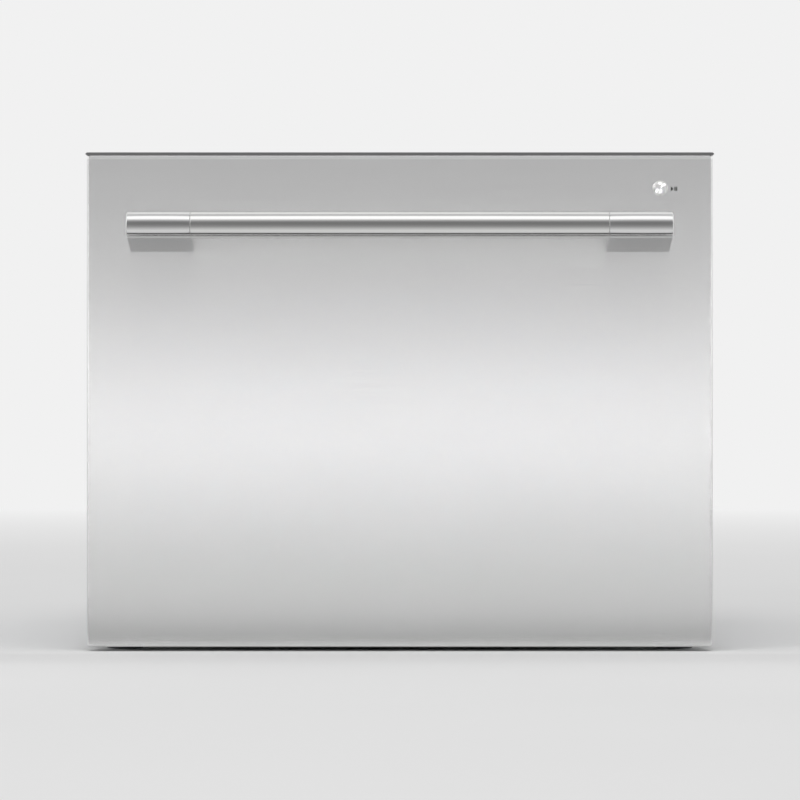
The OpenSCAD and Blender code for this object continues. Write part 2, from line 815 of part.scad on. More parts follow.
module front_frame() {
    cols = 6;
    rows = 4;
    rib = 6;
    back_t = 3;
    w = 2 * (x_skin - skin_t);
    z_low = z_front + skin_t;
    cell_w = (w - rib) / cols;
    cell_h = (z_skin - z_low - rib) / rows;
    boss_d = handle_screw_d + 10;
    color(c_dark) difference() {
        union() {
            difference() {
                difference() {
                    folded(skin_t + seat_gap);
                    block([-w, y_panel, z_low - 1], [w, y_panel + 3 * front_t, z_skin + 1]);
                }
                for (i = [0 : cols - 1], j = [0 : rows - 1])
                    translate([-w / 2 + rib + i * cell_w, y_face + skin_t - through, z_low + rib + j * cell_h])
                        cube([cell_w - rib, front_t - skin_t - back_t + through, cell_h - rib]);
            }
            handle_screw_places() rod_y(boss_d, y_face + skin_t, y_panel - 1, 0, 0);
            rod_y(bezel_d + 8, y_face + skin_t, y_panel - 1, x_button, z_button);
        }
        handle_screw_places() {
            rod_y(handle_screw_d + 2 * seat_gap, y_face, y_panel + through, 0, 0);
            rod_y(handle_screw_d + 6, y_panel - 5, y_panel + through, 0, 0);
        }
        rod_y(bezel_d + 2 * seat_gap, y_face, y_panel - 6, x_button, z_button);
    }
}

module front_gasket() {
    w = 2 * (x_side - 1);
    rim_side = x_side - 1 - rim_x - 0.5;
    h = z_top - z_ch - 2;
    color(c_black) translate([0, y_ch - 0.3, (z_top + z_ch) / 2]) rotate([90, 0, 0])
        linear_extrude(front_gap - 0.3) difference() {
            rounded(w, h, 6);
            rounded(w - 2 * rim_side, h - 2 * rim_side, 3);
        }
}

strip_w = 12;
strip_t = 1.2;
y_strip = (y_face + y_panel) / 2 + 1;

module top_trim() {
    bevel = trim_over;
    x_end = x_skin + trim_over;
    h = trim_t / 2;
    color(c_trim) difference() {
        translate([0, y_panel, z_trim - h]) rotate([90, 0, 0]) linear_extrude(front_t)
            polygon([[-x_end, 0], [-x_end + bevel, h], [x_end - bevel, h], [x_end, 0],
                     [x_end - bevel, -h], [-x_end + bevel, -h]]);
        block([-strip_l / 2 - seat_gap, y_strip - strip_w / 2 - seat_gap, z_trim - strip_t],
              [strip_l / 2 + seat_gap, y_strip + strip_w / 2 + seat_gap, z_trim + through]);
    }
}

module control_strip() {
    color(c_black) block([-strip_l / 2, y_strip - strip_w / 2, z_trim - strip_t],
                         [strip_l / 2, y_strip + strip_w / 2, z_trim]);
}

// ---------- handle ----------

module handle_bar() {
    color(c_polished) difference() {
        rod_x(bar_d, -bar_l / 2, bar_l / 2, y_bar, z_bar);
        rod_x(bar_d - 2 * bar_wall, -bar_l / 2 - through, bar_l / 2 + through, y_bar, z_bar);
    }
}

// Side view of an end bracket: the bar's circle, with a foot whose top is flat
// and whose underside runs from just inside the circle's tangent down to the panel
module bracket_outline() {
    r = bar_d / 2;
    r_start = 0.99 * r;
    foot = [bar_out, -root_down];
    a = atan2(foot[1], foot[0]) - acos(r / norm(foot));
    circle(r);
    polygon([[0, r], [bar_out, r], foot, [r_start * cos(a), r_start * sin(a)]]);
}

module handle_ends() {
    x0 = bar_l / 2;
    spigot_r = bar_d / 2 - bar_wall - seat_gap;
    color(c_polished) for (s = [-1, 1]) on_side(s) difference() {
        union() {
            translate([x0, y_bar, z_bar]) rotate([90, 0, 90])
                linear_extrude(bracket_w) bracket_outline();
            rod_x(2 * spigot_r, x0 - 15, x0 + 0.1, y_bar, z_bar);
        }
        for (z = [4, -root_down + 9])
            rod_y(handle_screw_d + 2 * seat_gap, y_face - 16, y_face + through, bracket_x, z_bar + z);
    }
}

module drawer_screws() {
    color(c_zinc) handle_screw_places() difference() {
        union() {
            rod_y(handle_screw_d, y_face - 15, y_panel - 4.9, 0, 0);
            rod_y(handle_screw_d + 4, y_panel - 5, y_panel - 1, 0, 0);
        }
        rod_y(4, y_panel - 3, y_panel, 0, 0, $fn = 6);
    }
}

// ---------- start button ----------

bezel_in_d = bezel_d - 2 * bezel_w;
bezel_out = 0.7;
button_out = 1.1;

module button_bezel() {
    y_end = y_panel - 6;
    color(c_polished) difference() {
        rod_y(bezel_d, y_face - bezel_out, y_end, x_button, z_button);
        rod_y(bezel_in_d, y_face - bezel_out - through, y_end - 1.5, x_button, z_button);
        rod_y(3, y_end - 2, y_end + through, x_button, z_button);
    }
}

module start_button() {
    cap_l = 8;
    color(c_steel) {
        rod_y(bezel_in_d - 2 * seat_gap, y_face - button_out, y_face - button_out + cap_l, x_button, z_button);
        rod_y(4, y_face - button_out + cap_l - 0.1, y_panel - 7.5 - button_travel - 0.3, x_button, z_button);
    }
}

// ---------- tub ----------

module tub() {
    w = 2 * tub_x;
    d = 2 * tub_half_d;
    r_in = tub_corner_r - tub_wall;
    rim_d = tub_back + rim_w - y_panel;
    color(c_tub) difference() {
        union() {
            slab(w, d, tub_corner_r, z_tub, z_rim, tub_y);
            slab(2 * rim_x, rim_d, rim_corner_r, z_rim - rim_t, z_rim, (tub_back + rim_w + y_panel) / 2);
        }
        difference() {
            slab(w - 2 * tub_wall, d - 2 * tub_wall, r_in, z_floor, z_rim + through, tub_y);
            for (x = [-1, 1], y = [-1, 1])
                translate([x * (tub_in_x - ledge_w / 2), tub_y + y * (tub_in_y - ledge_w / 2), z_tub])
                    linear_extrude(tub_wall + ledge_h) square(ledge_w, center = true);
        }
        post(sump_d + 2 * sump_wall + 2 * seat_gap, z_tub - through, z_floor + through, 0, tub_y);
    }
}

// ---------- wash system ----------

module sump() {
    r = sump_d / 2 + sump_wall;
    color(c_dark) translate([0, tub_y, 0]) difference() {
        union() {
            post(2 * r, z_sump, z_floor);
            post(2 * (r + flange_w), z_tub - 3, z_tub);
            post(16, z_sump - 14, z_sump + 0.1, -r + 12);
            for (a = [90 : 120 : 330]) rotate([0, 0, a])
                post(10, z_motor_top, z_sump + 0.1, motor_d / 2 - 10);
        }
        post(sump_d, z_sump + sump_t, z_floor + through);
        post(shaft_d + 2 * run_gap, z_sump - through, z_sump + sump_t + through);
        post(11, z_sump - 14 - through, z_sump + sump_t + through, -r + 12);
    }
}

module heater_ring() {
    r_in = sump_d / 2 + sump_wall + flange_w + 4;
    color(c_steel) translate([0, tub_y, 0]) {
        difference() {
            post(heater_d, z_tub - 2, z_tub);
            post(2 * r_in, z_tub - 3, z_tub + through);
        }
        translate([0, 0, z_tub - 5]) difference() {
            cylinder(r = (r_in + heater_d / 2) / 2 + 4, h = 3.1);
            translate([0, 0, -through]) cylinder(r = (r_in + heater_d / 2) / 2 - 4, h = 3.1 + 2 * through);
        }
    }
}

module motor_housing() {
    color(c_dark) translate([0, tub_y, 0]) difference() {
        post(motor_d, z_motor, z_motor_top);
        difference() {
            post(motor_d - 2 * motor_wall, z_motor + motor_wall, z_motor_top - motor_wall);
            post(shaft_d + 8, z_motor, z_motor + 6);
        }
        post(shaft_d + 2 * run_gap, z_motor + motor_wall, z_motor_top + through);
        for (a = [0 : 30 : 330]) rotate([0, 0, a])
            block([stator_out + 1, -2, z_motor + 8], [motor_d, 2, z_motor_top - 6]);
    }
}

module motor_stator() {
    poles = 12;
    color([0.60, 0.36, 0.20]) translate([0, tub_y, 0]) difference() {
        post(2 * stator_out, z_motor + motor_wall, z_motor_top - motor_wall - 2);
        post(2 * (stator_out - stator_w), z_motor, z_motor_top);
        for (a = [0 : 360 / poles : 359]) rotate([0, 0, a])
            block([stator_out - stator_w - 1, -3, z_motor], [stator_out - 5, 3, z_motor_top]);
    }
}

module wash_rotor() {
    blades = 8;
    hub_d = shaft_d + 10;
    color(c_tub) translate([0, tub_y, 0]) {
        post(shaft_d, z_motor + motor_wall + 0.5, z_rotor + rotor_t);
        post(rotor_d, z_rotor, z_rotor + 2);
        post(hub_d, z_rotor, z_rotor + rotor_t);
        for (i = [0 : blades - 1]) rotate([0, 0, i * 360 / blades])
            block([hub_d / 2 - 1, -1, z_rotor + 1], [rotor_d / 2 - 1, 1, z_rotor + rotor_t]);
        difference() {
            post(2 * magnet_r, z_motor + 8, z_motor_top - motor_wall - 3);
            post(2 * magnet_r - 12, z_motor + 11, z_motor_top);
        }
    }
}

module filter_plate() {
    hole_d = 5;
    color(c_steel) translate([0, tub_y, 0]) difference() {
        post(2 * plate_r, z_floor, z_plate);
        post(2 * riser_r + 2 * seat_gap, z_floor - through, z_plate + through);
        post(filter_d + 2 * seat_gap, z_floor - through, z_plate + through, filter_x);
        for (r = [riser_r + 10 : 12 : sump_d / 2 - 6])
            for (a = [0 : 360 / floor(r / 2.4) : 359])
                if (norm([r * cos(a) - filter_x, r * sin(a)]) > filter_d / 2 + hole_d)
                    rotate([0, 0, a]) post(hole_d, z_floor - through, z_plate + through, r);
    }
}

module drain_filter() {
    color(c_dark) translate([filter_x, tub_y, 0]) {
        difference() {
            union() {
                post(filter_d, z_sump + sump_t + 2, z_plate + 2);
                post(filter_d + 5, z_plate, z_plate + 2);
            }
            post(filter_d - 4, z_sump + sump_t + 4, z_plate + 2 + through);
            for (a = [0 : 30 : 330]) rotate([0, 0, a])
                block([filter_d / 2 - 3, -1.5, z_sump + sump_t + 5], [filter_d, 1.5, z_floor - 2]);
        }
        block([-filter_d / 2 + 1, -2, z_plate - 6], [filter_d / 2 - 1, 2, z_plate + 5]);
    }
}

module spray_riser() {
    color(c_dark) translate([0, tub_y, 0]) difference() {
        union() {
            post(2 * riser_r, z_rotor + rotor_t + 1.5, z_plate + 0.1);
            post(2 * riser_r + 8, z_plate, z_plate + 3);
            post(riser_d + 12, z_plate + 2.9, z_spray - 0.3);
            post(riser_d, z_spray - 0.4, z_pin_top);
        }
        post(riser_d - 5, z_rotor, z_pin_top + through);
        post(2 * riser_r - 6, z_rotor, z_plate);
    }
}

module spray_arm() {
    hub_d = riser_d + 30;
    root_w = 27;
    tip_w = 13;
    tip = spray_l / 2 - tip_w;
    color(c_dark) translate([0, tub_y, 0]) difference() {
        union() {
            post(hub_d, z_spray, z_spray + spray_t + 3);
            for (s = [0, 180]) rotate([0, 0, s]) translate([0, 0, z_spray + 2])
                linear_extrude(spray_t - 2) {
                    polygon([[0, -root_w], [tip, -tip_w], [tip, tip_w], [0, root_w]]);
                    translate([tip, 0]) circle(tip_w);
                }
        }
        post(riser_d + 2 * run_gap, z_spray - through, z_spray + spray_t);
        for (s = [0, 180]) rotate([0, 0, s]) for (i = [0 : 4])
            post(3, z_spray + spray_t - 5, z_spray + spray_t + through, hub_d + 8 + i * (tip - hub_d - 8) / 4, (i % 2) * 8 - 4);
    }
}

// ---------- modules under the tub ----------

// Four posts that hang a module from the tub
module hangers(w, l, z) {
    hanger_d = 10;
    hanger_in = hanger_d / 2 + 4;
    for (x = [-1, 1], y = [-1, 1])
        post(hanger_d, z, z_tub, x * (w / 2 - hanger_in), y * (l / 2 - hanger_in));
}

module control_module() {
    color(c_black) translate([-module_x, module_y, 0]) difference() {
        union() {
            slab(module_w, module_l, 5, z_module, z_module + module_h);
            hangers(module_w, module_l, z_module + module_h - 0.1);
        }
        for (x = [-36 : 18 : 36])
            block([x - 7, -module_l / 2 - through, z_module + 8], [x + 7, -module_l / 2 + 9, z_module + 20]);
    }
}

module drying_fan_housing() {
    wall = 3;
    color(c_dark) translate([module_x, module_y, 0]) {
        difference() {
            union() {
                slab(module_w, module_l, 8, z_module, z_module + module_h);
                hangers(module_w, module_l, z_module + module_h - 0.1);
            }
            post(2 * fan_r + 8, z_module + wall, z_module + module_h - wall);
            post(2 * fan_r - 12, z_module + wall + 1, z_module + module_h + through);
            block([-20, -module_l / 2 - through, z_module + wall + 4], [20, 0, z_module + module_h - wall - 4]);
        }
        post(fan_pin_d, z_module + wall - 0.1, z_module + module_h - wall - 2);
    }
}

module fan_wheel() {
    blades = 16;
    wall = 3;
    z0 = z_module + wall + 2;
    z1 = z_module + module_h - wall - 3;
    color(c_tub) translate([module_x, module_y, 0]) difference() {
        union() {
            post(2 * fan_r, z0, z0 + 2);
            post(fan_pin_d + 12, z0, z1);
            for (i = [0 : blades - 1]) rotate([0, 0, i * 360 / blades])
                block([fan_r - 14, -0.8, z0 + 1], [fan_r - 0.5, 0.8, z1]);
        }
        post(fan_pin_d + 2 * run_gap, z0 - through, z1 + through);
    }
}

// ---------- dispenser ----------

module dispenser_body() {
    y_out = disp_y + disp_t;
    ear_w = 4;
    color(c_dark) {
        difference() {
            block([disp_x - disp_w / 2, disp_y, z_disp], [disp_x + disp_w / 2, y_out, z_disp + disp_h]);
            block([cup_x - cup_w / 2, y_out - 13, z_disp + 9], [cup_x + cup_w / 2, y_out + through, z_disp + 9 + cup_h]);
            rod_y(cap_stem_d + 2 * run_gap, y_out - 8, y_out + through, cap_x, z_disp + disp_h / 2);
            block([cup_x - cup_w / 2 - 4, y_out - 3, z_hinge - 5], [cup_x + cup_w / 2 + 4, y_out + through, z_hinge + 5]);
        }
        for (s = [-1, 1])
            block([cup_x + s * (cup_w / 2 + 4 - ear_w / 2) - ear_w / 2, y_out - 3.1, z_hinge - 3],
                  [cup_x + s * (cup_w / 2 + 4 - ear_w / 2) + ear_w / 2, y_hinge + 3, z_hinge + 3]);
        rod_x(hinge_pin_d, cup_x - cup_w / 2 - 1, cup_x + cup_w / 2 + 1, y_hinge, z_hinge);
    }
}

module dispenser_lid() {
    half = cup_w / 2 - 0.4;
    z_low = z_disp + 5;
    color(c_tub) difference() {
        union() {
            rod_x(hinge_pin_d + 3, cup_x - half, cup_x + half, y_hinge, z_hinge);
            block([cup_x - half, y_hinge - flap_t / 2, z_low], [cup_x + half, y_hinge + flap_t / 2, z_hinge]);
            block([cup_x - 10, y_hinge + flap_t / 2 - 0.1, z_low + 4], [cup_x + 10, y_hinge + flap_t / 2 + 2, z_low + 9]);
        }
        rod_x(hinge_pin_d + 2 * run_gap, cup_x - half - through, cup_x + half + through, y_hinge, z_hinge);
    }
}

module rinse_cap() {
    y_out = disp_y + disp_t + 0.3;
    z = z_disp + disp_h / 2;
    color(c_blue) {
        rod_y(cap_d, y_out, y_out + 3, cap_x, z);
        rod_y(cap_stem_d, y_out - 7, y_out + 0.1, cap_x, z);
        block([cap_x - cap_d / 2 + 3, y_out + 2.9, z - 2.5], [cap_x + cap_d / 2 - 3, y_out + 8, z + 2.5]);
    }
}

// ---------- rack ----------

// The walls stand on a flat floor. Each rail around them is [its height, its thickness].
rack_rails = [[z_rack + rack_h / 2, wire_d], [z_rack_top - rim_wire / 2, rim_wire]];
z_upright = z_rack + wire_d / 2;
z_cross_top = z_cross + wire_d / 2 * cos(180 / wire_sides);

// Which wires of the floor carry an axle's clip, and which uprights of the side walls
tine_clips = [-wires_x + 1, -floor(wires_x / 3), floor(wires_x / 3)];
shelf_clips = [-wires_y + 3, wires_y - 3];

// A ring under the walls, the wires along X and the wires along Y across them
module rack_floor() {
    wire_end = rack_y + wire_d / 4;
    color(c_rack) {
        translate([0, tub_y, z_rack - wire_d / 2]) linear_extrude(wire_d) difference() {
            rounded(2 * rack_x + wire_d, 2 * rack_y + wire_d, rack_corner_r + wire_d / 2);
            rounded(2 * rack_x - wire_d, 2 * rack_y - wire_d, rack_corner_r - wire_d / 2);
        }
        for (j = [-wires_y : wires_y])
            wire_x(-rack_x, rack_x, tub_y + j * step_y, z_rack);
        for (i = [-wires_x : wires_x])
            wire_y(tub_y - wire_end, tub_y + wire_end, i * step_x, z_cross);
    }
}

// A straight wall along X: its rails, and uprights from height z0
module rack_wall(half, wires, step, z0) {
    for (rail = rack_rails)
        translate([0, 0, rail[0]]) cube([2 * half, rail[1], rail[1]], center = true);
    for (i = [-wires + 1 : 2 : wires - 1])
        wire_z(z0, rack_rails[1][0], i * step, 0);
}

// Puts its children in the plane of a side wall
module at_side_wall(side) {
    translate([side * rack_x, tub_y, 0]) rotate([0, 0, 90]) children();
}

module rack_sides() {
    color(c_rack) for (s = [-1, 1]) at_side_wall(s)
        rack_wall(span_y, wires_y, step_y, z_upright);
}

module rack_ends() {
    color(c_rack) for (s = [-1, 1]) translate([0, tub_y + s * rack_y, 0])
        rack_wall(span_x, wires_x, step_x, z_cross_top);
}

module rack_corners() {
    color(c_rack) for (x = [-1, 1], y = [-1, 1], rail = rack_rails)
        translate([x * span_x, tub_y + y * span_y, rail[0]]) rotate([0, 0, atan2(y, x) - 45])
            rotate_extrude(angle = 90) translate([rack_corner_r, 0]) square(rail[1], center = true);
}

// Clips that hold the axles of the tines on the floor and of the cup shelves on the side walls
module rack_clips() {
    bore = wire_d + 2 * run_gap;
    grip = clip_wall + wire_d / 2;
    color(c_rack) difference() {
        union() {
            for (y = [-tine_y, tine_y], i = tine_clips)
                block([i * step_x - clip_w / 2, tub_y + y - grip, z_upright],
                      [i * step_x + clip_w / 2, tub_y + y + grip, z_tine + grip]);
            for (s = [-1, 1], j = shelf_clips) on_side(s)
                block([shelf_x - grip, tub_y + j * step_y - clip_w / 2, z_shelf - grip],
                      [rack_x + wire_d / 2 + 1.5, tub_y + j * step_y + clip_w / 2, z_shelf + grip]);
        }
        for (y = [-tine_y, tine_y]) rod_x(bore, -span_x, span_x, tub_y + y, z_tine);
        for (s = [-1, 1]) rod_y(bore, tub_y - span_y, tub_y + span_y, s * shelf_x, z_shelf);
        for (i = tine_clips) wire_y(tub_y - rack_y, tub_y + rack_y, i * step_x, z_cross);
        for (s = [-1, 1], j = shelf_clips) at_side_wall(s)
            wire_z(z_upright, z_rack_top, j * step_y, 0);
    }
}

module tine_row(y) {
    x0 = (-wires_x + 0.5) * step_x;
    count = floor((tine_end - x0) / step_x);
    color(c_rack) {
        rod_x(wire_d, x0 - 5, x0 + count * step_x + 5, tub_y + y, z_tine);
        for (i = [0 : count])
            wire_z(z_tine, z_tine + tine_h, x0 + i * step_x, tub_y + y, tine_d);
    }
}

module cup_rack(side) {
    inner_x = shelf_x - shelf_w;
    slats = 3;
    bars = [for (j = [-wires_y + 1.5 : 1 : wires_y - 1.5]) j];
    color(c_rack) on_side(side) {
        rod_y(wire_d, tub_y - shelf_half, tub_y + shelf_half, shelf_x, z_shelf);
        for (i = [1 : slats])
            wire_y(tub_y - shelf_half, tub_y + shelf_half, shelf_x - i * shelf_w / slats, z_shelf);
        for (j = bars) wire_x(inner_x, shelf_x, tub_y + j * step_y, z_shelf, tine_d);
    }
}

module cutlery_basket() {
    cells = 4;
    x0 = basket_x - basket_w / 2;
    x1 = basket_x + basket_w / 2;
    y0 = tub_y - basket_l / 2;
    cell_l = (basket_l - basket_wall) / cells;
    color(c_rack) difference() {
        block([x0, y0, z_rack_floor], [x1, y0 + basket_l, z_rack_floor + basket_h]);
        for (i = [0 : cells - 1])
            translate([x0 + basket_wall, y0 + basket_wall + i * cell_l, z_rack_floor + basket_wall])
                cube([basket_w - 2 * basket_wall, cell_l - basket_wall, basket_h]);
        for (i = [0 : cells - 1], z = [14 : 22 : basket_h - 30])
            block([x0 - through, y0 + basket_wall + i * cell_l + 6, z_rack_floor + z],
                  [x1 + through, y0 + (i + 1) * cell_l - 6, z_rack_floor + z + 14]);
    }
}

// ---------- the pieces ----------

chassis_base();
chassis_sides();
chassis_top();
chassis_back();
opening_trim();
levelling_feet();
chassis_screws();
outer_runners();
link_anchor();
flood_sensor();
supply_hoses();
inlet_valve();
drain_spigot();
power_inlet();
lid_actuators();
runner_mid(-1);  // runner_mid_left
runner_mid(1);  // runner_mid_right
link_lower();
link_upper();
lid_panel();
lid_seal();
lid_carriers();
front_skin();
front_frame();
front_gasket();
top_trim();
control_strip();
handle_bar();
handle_ends();
drawer_screws();
button_bezel();
start_button();
tub();
inner_runners();
link_tub_bracket();
sump();
heater_ring();
motor_housing();
motor_stator();
wash_rotor();
filter_plate();
drain_filter();
spray_riser();
spray_arm();
control_module();
drying_fan_housing();
fan_wheel();
dispenser_body();
dispenser_lid();
rinse_cap();
rack_floor();
rack_sides();
rack_ends();
rack_corners();
rack_clips();
tine_row(-tine_y);  // tine_row_front
tine_row(tine_y);  // tine_row_back
cup_rack(-1);  // cup_rack_left
cup_rack(1);  // cup_rack_right
cutlery_basket();
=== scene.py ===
"""Dishwasher drawer: the looks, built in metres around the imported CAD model."""
import json
import math

import bmesh
import bpy
from mathutils import Matrix, Vector


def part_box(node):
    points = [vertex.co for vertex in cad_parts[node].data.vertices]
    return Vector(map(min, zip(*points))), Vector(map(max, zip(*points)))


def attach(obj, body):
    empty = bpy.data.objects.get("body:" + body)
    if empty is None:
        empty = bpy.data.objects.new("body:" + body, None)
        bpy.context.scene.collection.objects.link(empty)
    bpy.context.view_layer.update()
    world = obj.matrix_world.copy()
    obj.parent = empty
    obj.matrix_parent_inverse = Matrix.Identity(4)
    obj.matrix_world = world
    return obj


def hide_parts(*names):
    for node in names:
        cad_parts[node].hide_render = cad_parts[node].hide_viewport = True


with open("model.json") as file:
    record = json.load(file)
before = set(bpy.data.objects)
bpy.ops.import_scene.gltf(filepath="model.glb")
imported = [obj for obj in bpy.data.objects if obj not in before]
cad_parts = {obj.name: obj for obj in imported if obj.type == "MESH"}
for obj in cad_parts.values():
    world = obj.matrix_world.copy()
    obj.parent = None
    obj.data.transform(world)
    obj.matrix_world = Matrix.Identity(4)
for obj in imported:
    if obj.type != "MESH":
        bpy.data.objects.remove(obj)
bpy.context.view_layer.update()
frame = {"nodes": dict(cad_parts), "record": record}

# ---------- places that the pieces share ----------

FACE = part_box("front_skin")[0].y            # front of the steel panel
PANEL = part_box("front_skin")[1].y           # back of the panel
SKIN_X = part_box("front_skin")[1].x
SKIN_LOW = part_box("front_skin")[0].z
SKIN_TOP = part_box("front_skin")[1].z
FOLD = 0.0022                               # radius of the panel's folded edges
BAR_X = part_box("handle_bar")[1].x
BAR_R = (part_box("handle_bar")[1].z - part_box("handle_bar")[0].z) / 2
BAR_Y = (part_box("handle_bar")[0].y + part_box("handle_bar")[1].y) / 2
BAR_Z = (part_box("handle_bar")[0].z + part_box("handle_bar")[1].z) / 2
BUTTON = (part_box("button_bezel")[0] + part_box("button_bezel")[1]) / 2
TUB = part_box("tub")
TUB_X = 0.278                               # outer half width below the rim
TUB_Y = 0.020                               # middle of the tub
TUB_HALF = 0.244
TUB_FLOOR = TUB[0].z + 0.003


# ---------- node trees ----------

class Value:
    """A socket of a node tree. Sums and products of it add their Math nodes."""

    def __init__(self, tree, socket):
        self.tree = tree
        self.socket = socket

    def math(self, operation, *numbers):
        return self.tree.node("ShaderNodeMath", {"operation": operation}, dict(enumerate(numbers)))

    def __add__(self, other):
        return self.math("ADD", self, other)

    def __sub__(self, other):
        return self.math("SUBTRACT", self, other)

    def __rsub__(self, other):
        return self.math("SUBTRACT", other, self)

    def __mul__(self, other):
        return self.math("MULTIPLY", self, other)

    def __truediv__(self, other):
        return self.math("DIVIDE", self, other)

    def sine(self):
        return self.math("SINE", self)

    __radd__ = __add__
    __rmul__ = __mul__


class Tree:
    """A node tree being built. node() adds any node, with its settings and what its sockets are given."""

    def __init__(self, tree):
        self.tree = tree

    def node(self, kind, settings=None, sockets=None, out=0):
        made = self.tree.nodes.new(kind)
        for name, setting in (settings or {}).items():
            if name == "stops":
                ramp = made.color_ramp.elements
                while len(ramp) < len(setting):
                    ramp.new(0.5)
                for element, (at, colour) in zip(ramp, setting):
                    element.position = at
                    element.color = colour
            else:
                setattr(made, name, setting)
        for key, given in (sockets or {}).items():
            self.give(made.inputs[key], given)
        return Value(self, made.outputs[out])

    def give(self, socket, given):
        if isinstance(given, Value):
            self.tree.links.new(given.socket, socket)
        else:
            socket.default_value = given


class Finish(Tree):
    """A procedural material. Its patterns lie in the object's own coordinates, in metres."""

    def __init__(self, name, **sockets):
        self.material = bpy.data.materials.new(name)
        self.material.use_nodes = True
        super().__init__(self.material.node_tree)
        self.shader = self.tree.nodes["Principled BSDF"]
        self.place = self.node("ShaderNodeTexCoord", out="Object")
        self.set(**sockets)

    def set(self, **sockets):
        for name, given in sockets.items():
            self.give(self.shader.inputs[name.replace("_", " ")], given)

    def noise(self, scale, stretch=(1, 1, 1), detail=2.0):
        at = self.node("ShaderNodeMapping", {}, {"Vector": self.place, "Scale": stretch})
        return self.node("ShaderNodeTexNoise", {}, {"Vector": at, "Scale": scale, "Detail": detail})

    def mix(self, factor, first, second):
        return self.node("ShaderNodeMix", {"data_type": "RGBA"}, {0: factor, 6: first, 7: second}, 2)

    def step(self, value, low, high, bottom=0.0, top=1.0):
        """The value mapped from low..high to bottom..top, and held at both ends."""
        return self.node("ShaderNodeMapRange", {}, {0: value, 1: low, 2: high, 3: bottom, 4: top})

    def height(self):
        return self.node("ShaderNodeSeparateXYZ", {}, {0: self.place}, "Z")

    def bump(self, height, depth, strength):
        return self.node("ShaderNodeBump", {}, {"Height": height, "Distance": depth, "Strength": strength})


def grey(level):
    return (level, level, level, 1.0)


def shade(colour, factor):
    return tuple(min(1.0, c * factor) for c in colour[:3]) + (1.0,)


def moulded(name, colour, roughness, coat=0.0):
    """Moulded plastic: a fine spark-eroded grain and a slight drift of the colour."""
    finish = Finish(name, Coat_Roughness=0.15)
    drift = finish.noise(14, detail=3)
    grain = finish.noise(1500, detail=1)
    finish.set(Base_Color=finish.mix(drift, shade(colour, 0.92), shade(colour, 1.08)),
               Roughness=finish.step(drift, 0.3, 0.7, roughness - 0.05, roughness + 0.05),
               Coat_Weight=coat,
               Normal=finish.bump(grain, 0.00004, 0.6))
    return finish


def brushed(name, colour, roughness, stretch, scale=900, depth=0.00002, drift=0.03):
    """Sheet or bar metal with fine lines; stretch is small along the lines."""
    finish = Finish(name, Metallic=1.0)
    lines = finish.noise(scale, stretch, 3)
    cloud = finish.noise(9, detail=2)
    finish.set(Base_Color=finish.mix(lines * 0.7 + cloud * 0.3,
                                     shade(colour, 1 - drift), shade(colour, 1 + drift)),
               Roughness=finish.step(lines, 0.25, 0.75, roughness * 0.88, roughness * 1.12),
               Normal=finish.bump(lines, depth, 0.35))
    return finish


def zinc_sheet():
    """Hot-dipped zinc: a soft spangle of crystals over a satin sheet."""
    finish = Finish("galvanised_sheet", Metallic=0.85)
    spangle = finish.node("ShaderNodeTexVoronoi", {"feature": "F1"},
                          {"Vector": finish.place, "Scale": 130.0, "Randomness": 1.0}, "Color")
    tone = finish.node("ShaderNodeSeparateColor", {}, {0: spangle})
    cloud = finish.noise(7, detail=4)
    finish.set(Base_Color=finish.mix(tone * 0.55 + cloud * 0.45,
                                     (0.50, 0.515, 0.53, 1), (0.68, 0.69, 0.70, 1)),
               Roughness=finish.step(tone, 0, 1, 0.38, 0.52),
               Normal=finish.bump(cloud, 0.0004, 0.25))
    return finish


def rubber_skin():
    finish = Finish("black_rubber")
    dust = finish.noise(60, detail=5)
    finish.set(Base_Color=finish.mix(dust, grey(0.028), grey(0.05)),
               Roughness=finish.step(dust, 0.3, 0.7, 0.62, 0.8),
               Normal=finish.bump(finish.noise(2200), 0.00003, 0.5))
    return finish


def panel_steel():
    """The front's stainless sheet, brushed from side to side."""
    finish = Finish("panel_steel", Metallic=1.0, Anisotropic=0.75, Anisotropic_Rotation=0.25)
    lines = finish.noise(1.0, (14, 40, 2600), 3)
    fine = finish.noise(1.0, (60, 40, 6500), 2)
    streak = finish.step(finish.noise(1.0, (22, 10, 950), 2), 0.66, 0.78)
    height = finish.height()
    tone = lines * 0.6 + fine * 0.4 + streak * finish.step(height, 0.02, 0.2, 0.5, 0.05)
    # Painted highlight: a band just under the top edge is lightened in the colour, standing in for a
    # reflection there.
    painted_top_highlight = finish.step(height, SKIN_TOP - 0.0038, SKIN_TOP - 0.0032)
    finish.set(Base_Color=finish.mix(painted_top_highlight, finish.mix(tone, grey(0.74), grey(0.80)), grey(0.90)),
               Roughness=finish.step(lines, 0.2, 0.8, 0.22, 0.26),
               Normal=finish.bump(lines + fine, 0.000008, 0.3))
    return finish


def spun_steel():
    """The start button's face, turned on a lathe: fine rings round its middle."""
    finish = Finish("spun_steel", Metallic=1.0)
    at = finish.node("ShaderNodeVectorMath", {"operation": "SUBTRACT"},
                     {0: finish.place, 1: (BUTTON.x, 0, BUTTON.z)})
    flat = finish.node("ShaderNodeVectorMath", {"operation": "MULTIPLY"}, {0: at, 1: (1, 0, 1)})
    radius = finish.node("ShaderNodeVectorMath", {"operation": "LENGTH"}, {0: flat}, "Value")
    rings = (radius * 24000).sine()
    finish.set(Base_Color=finish.mix(rings * 0.5 + 0.5, grey(0.80), grey(0.90)),
               Roughness=0.11,
               Normal=finish.bump(rings, 0.00003, 0.8))
    return finish


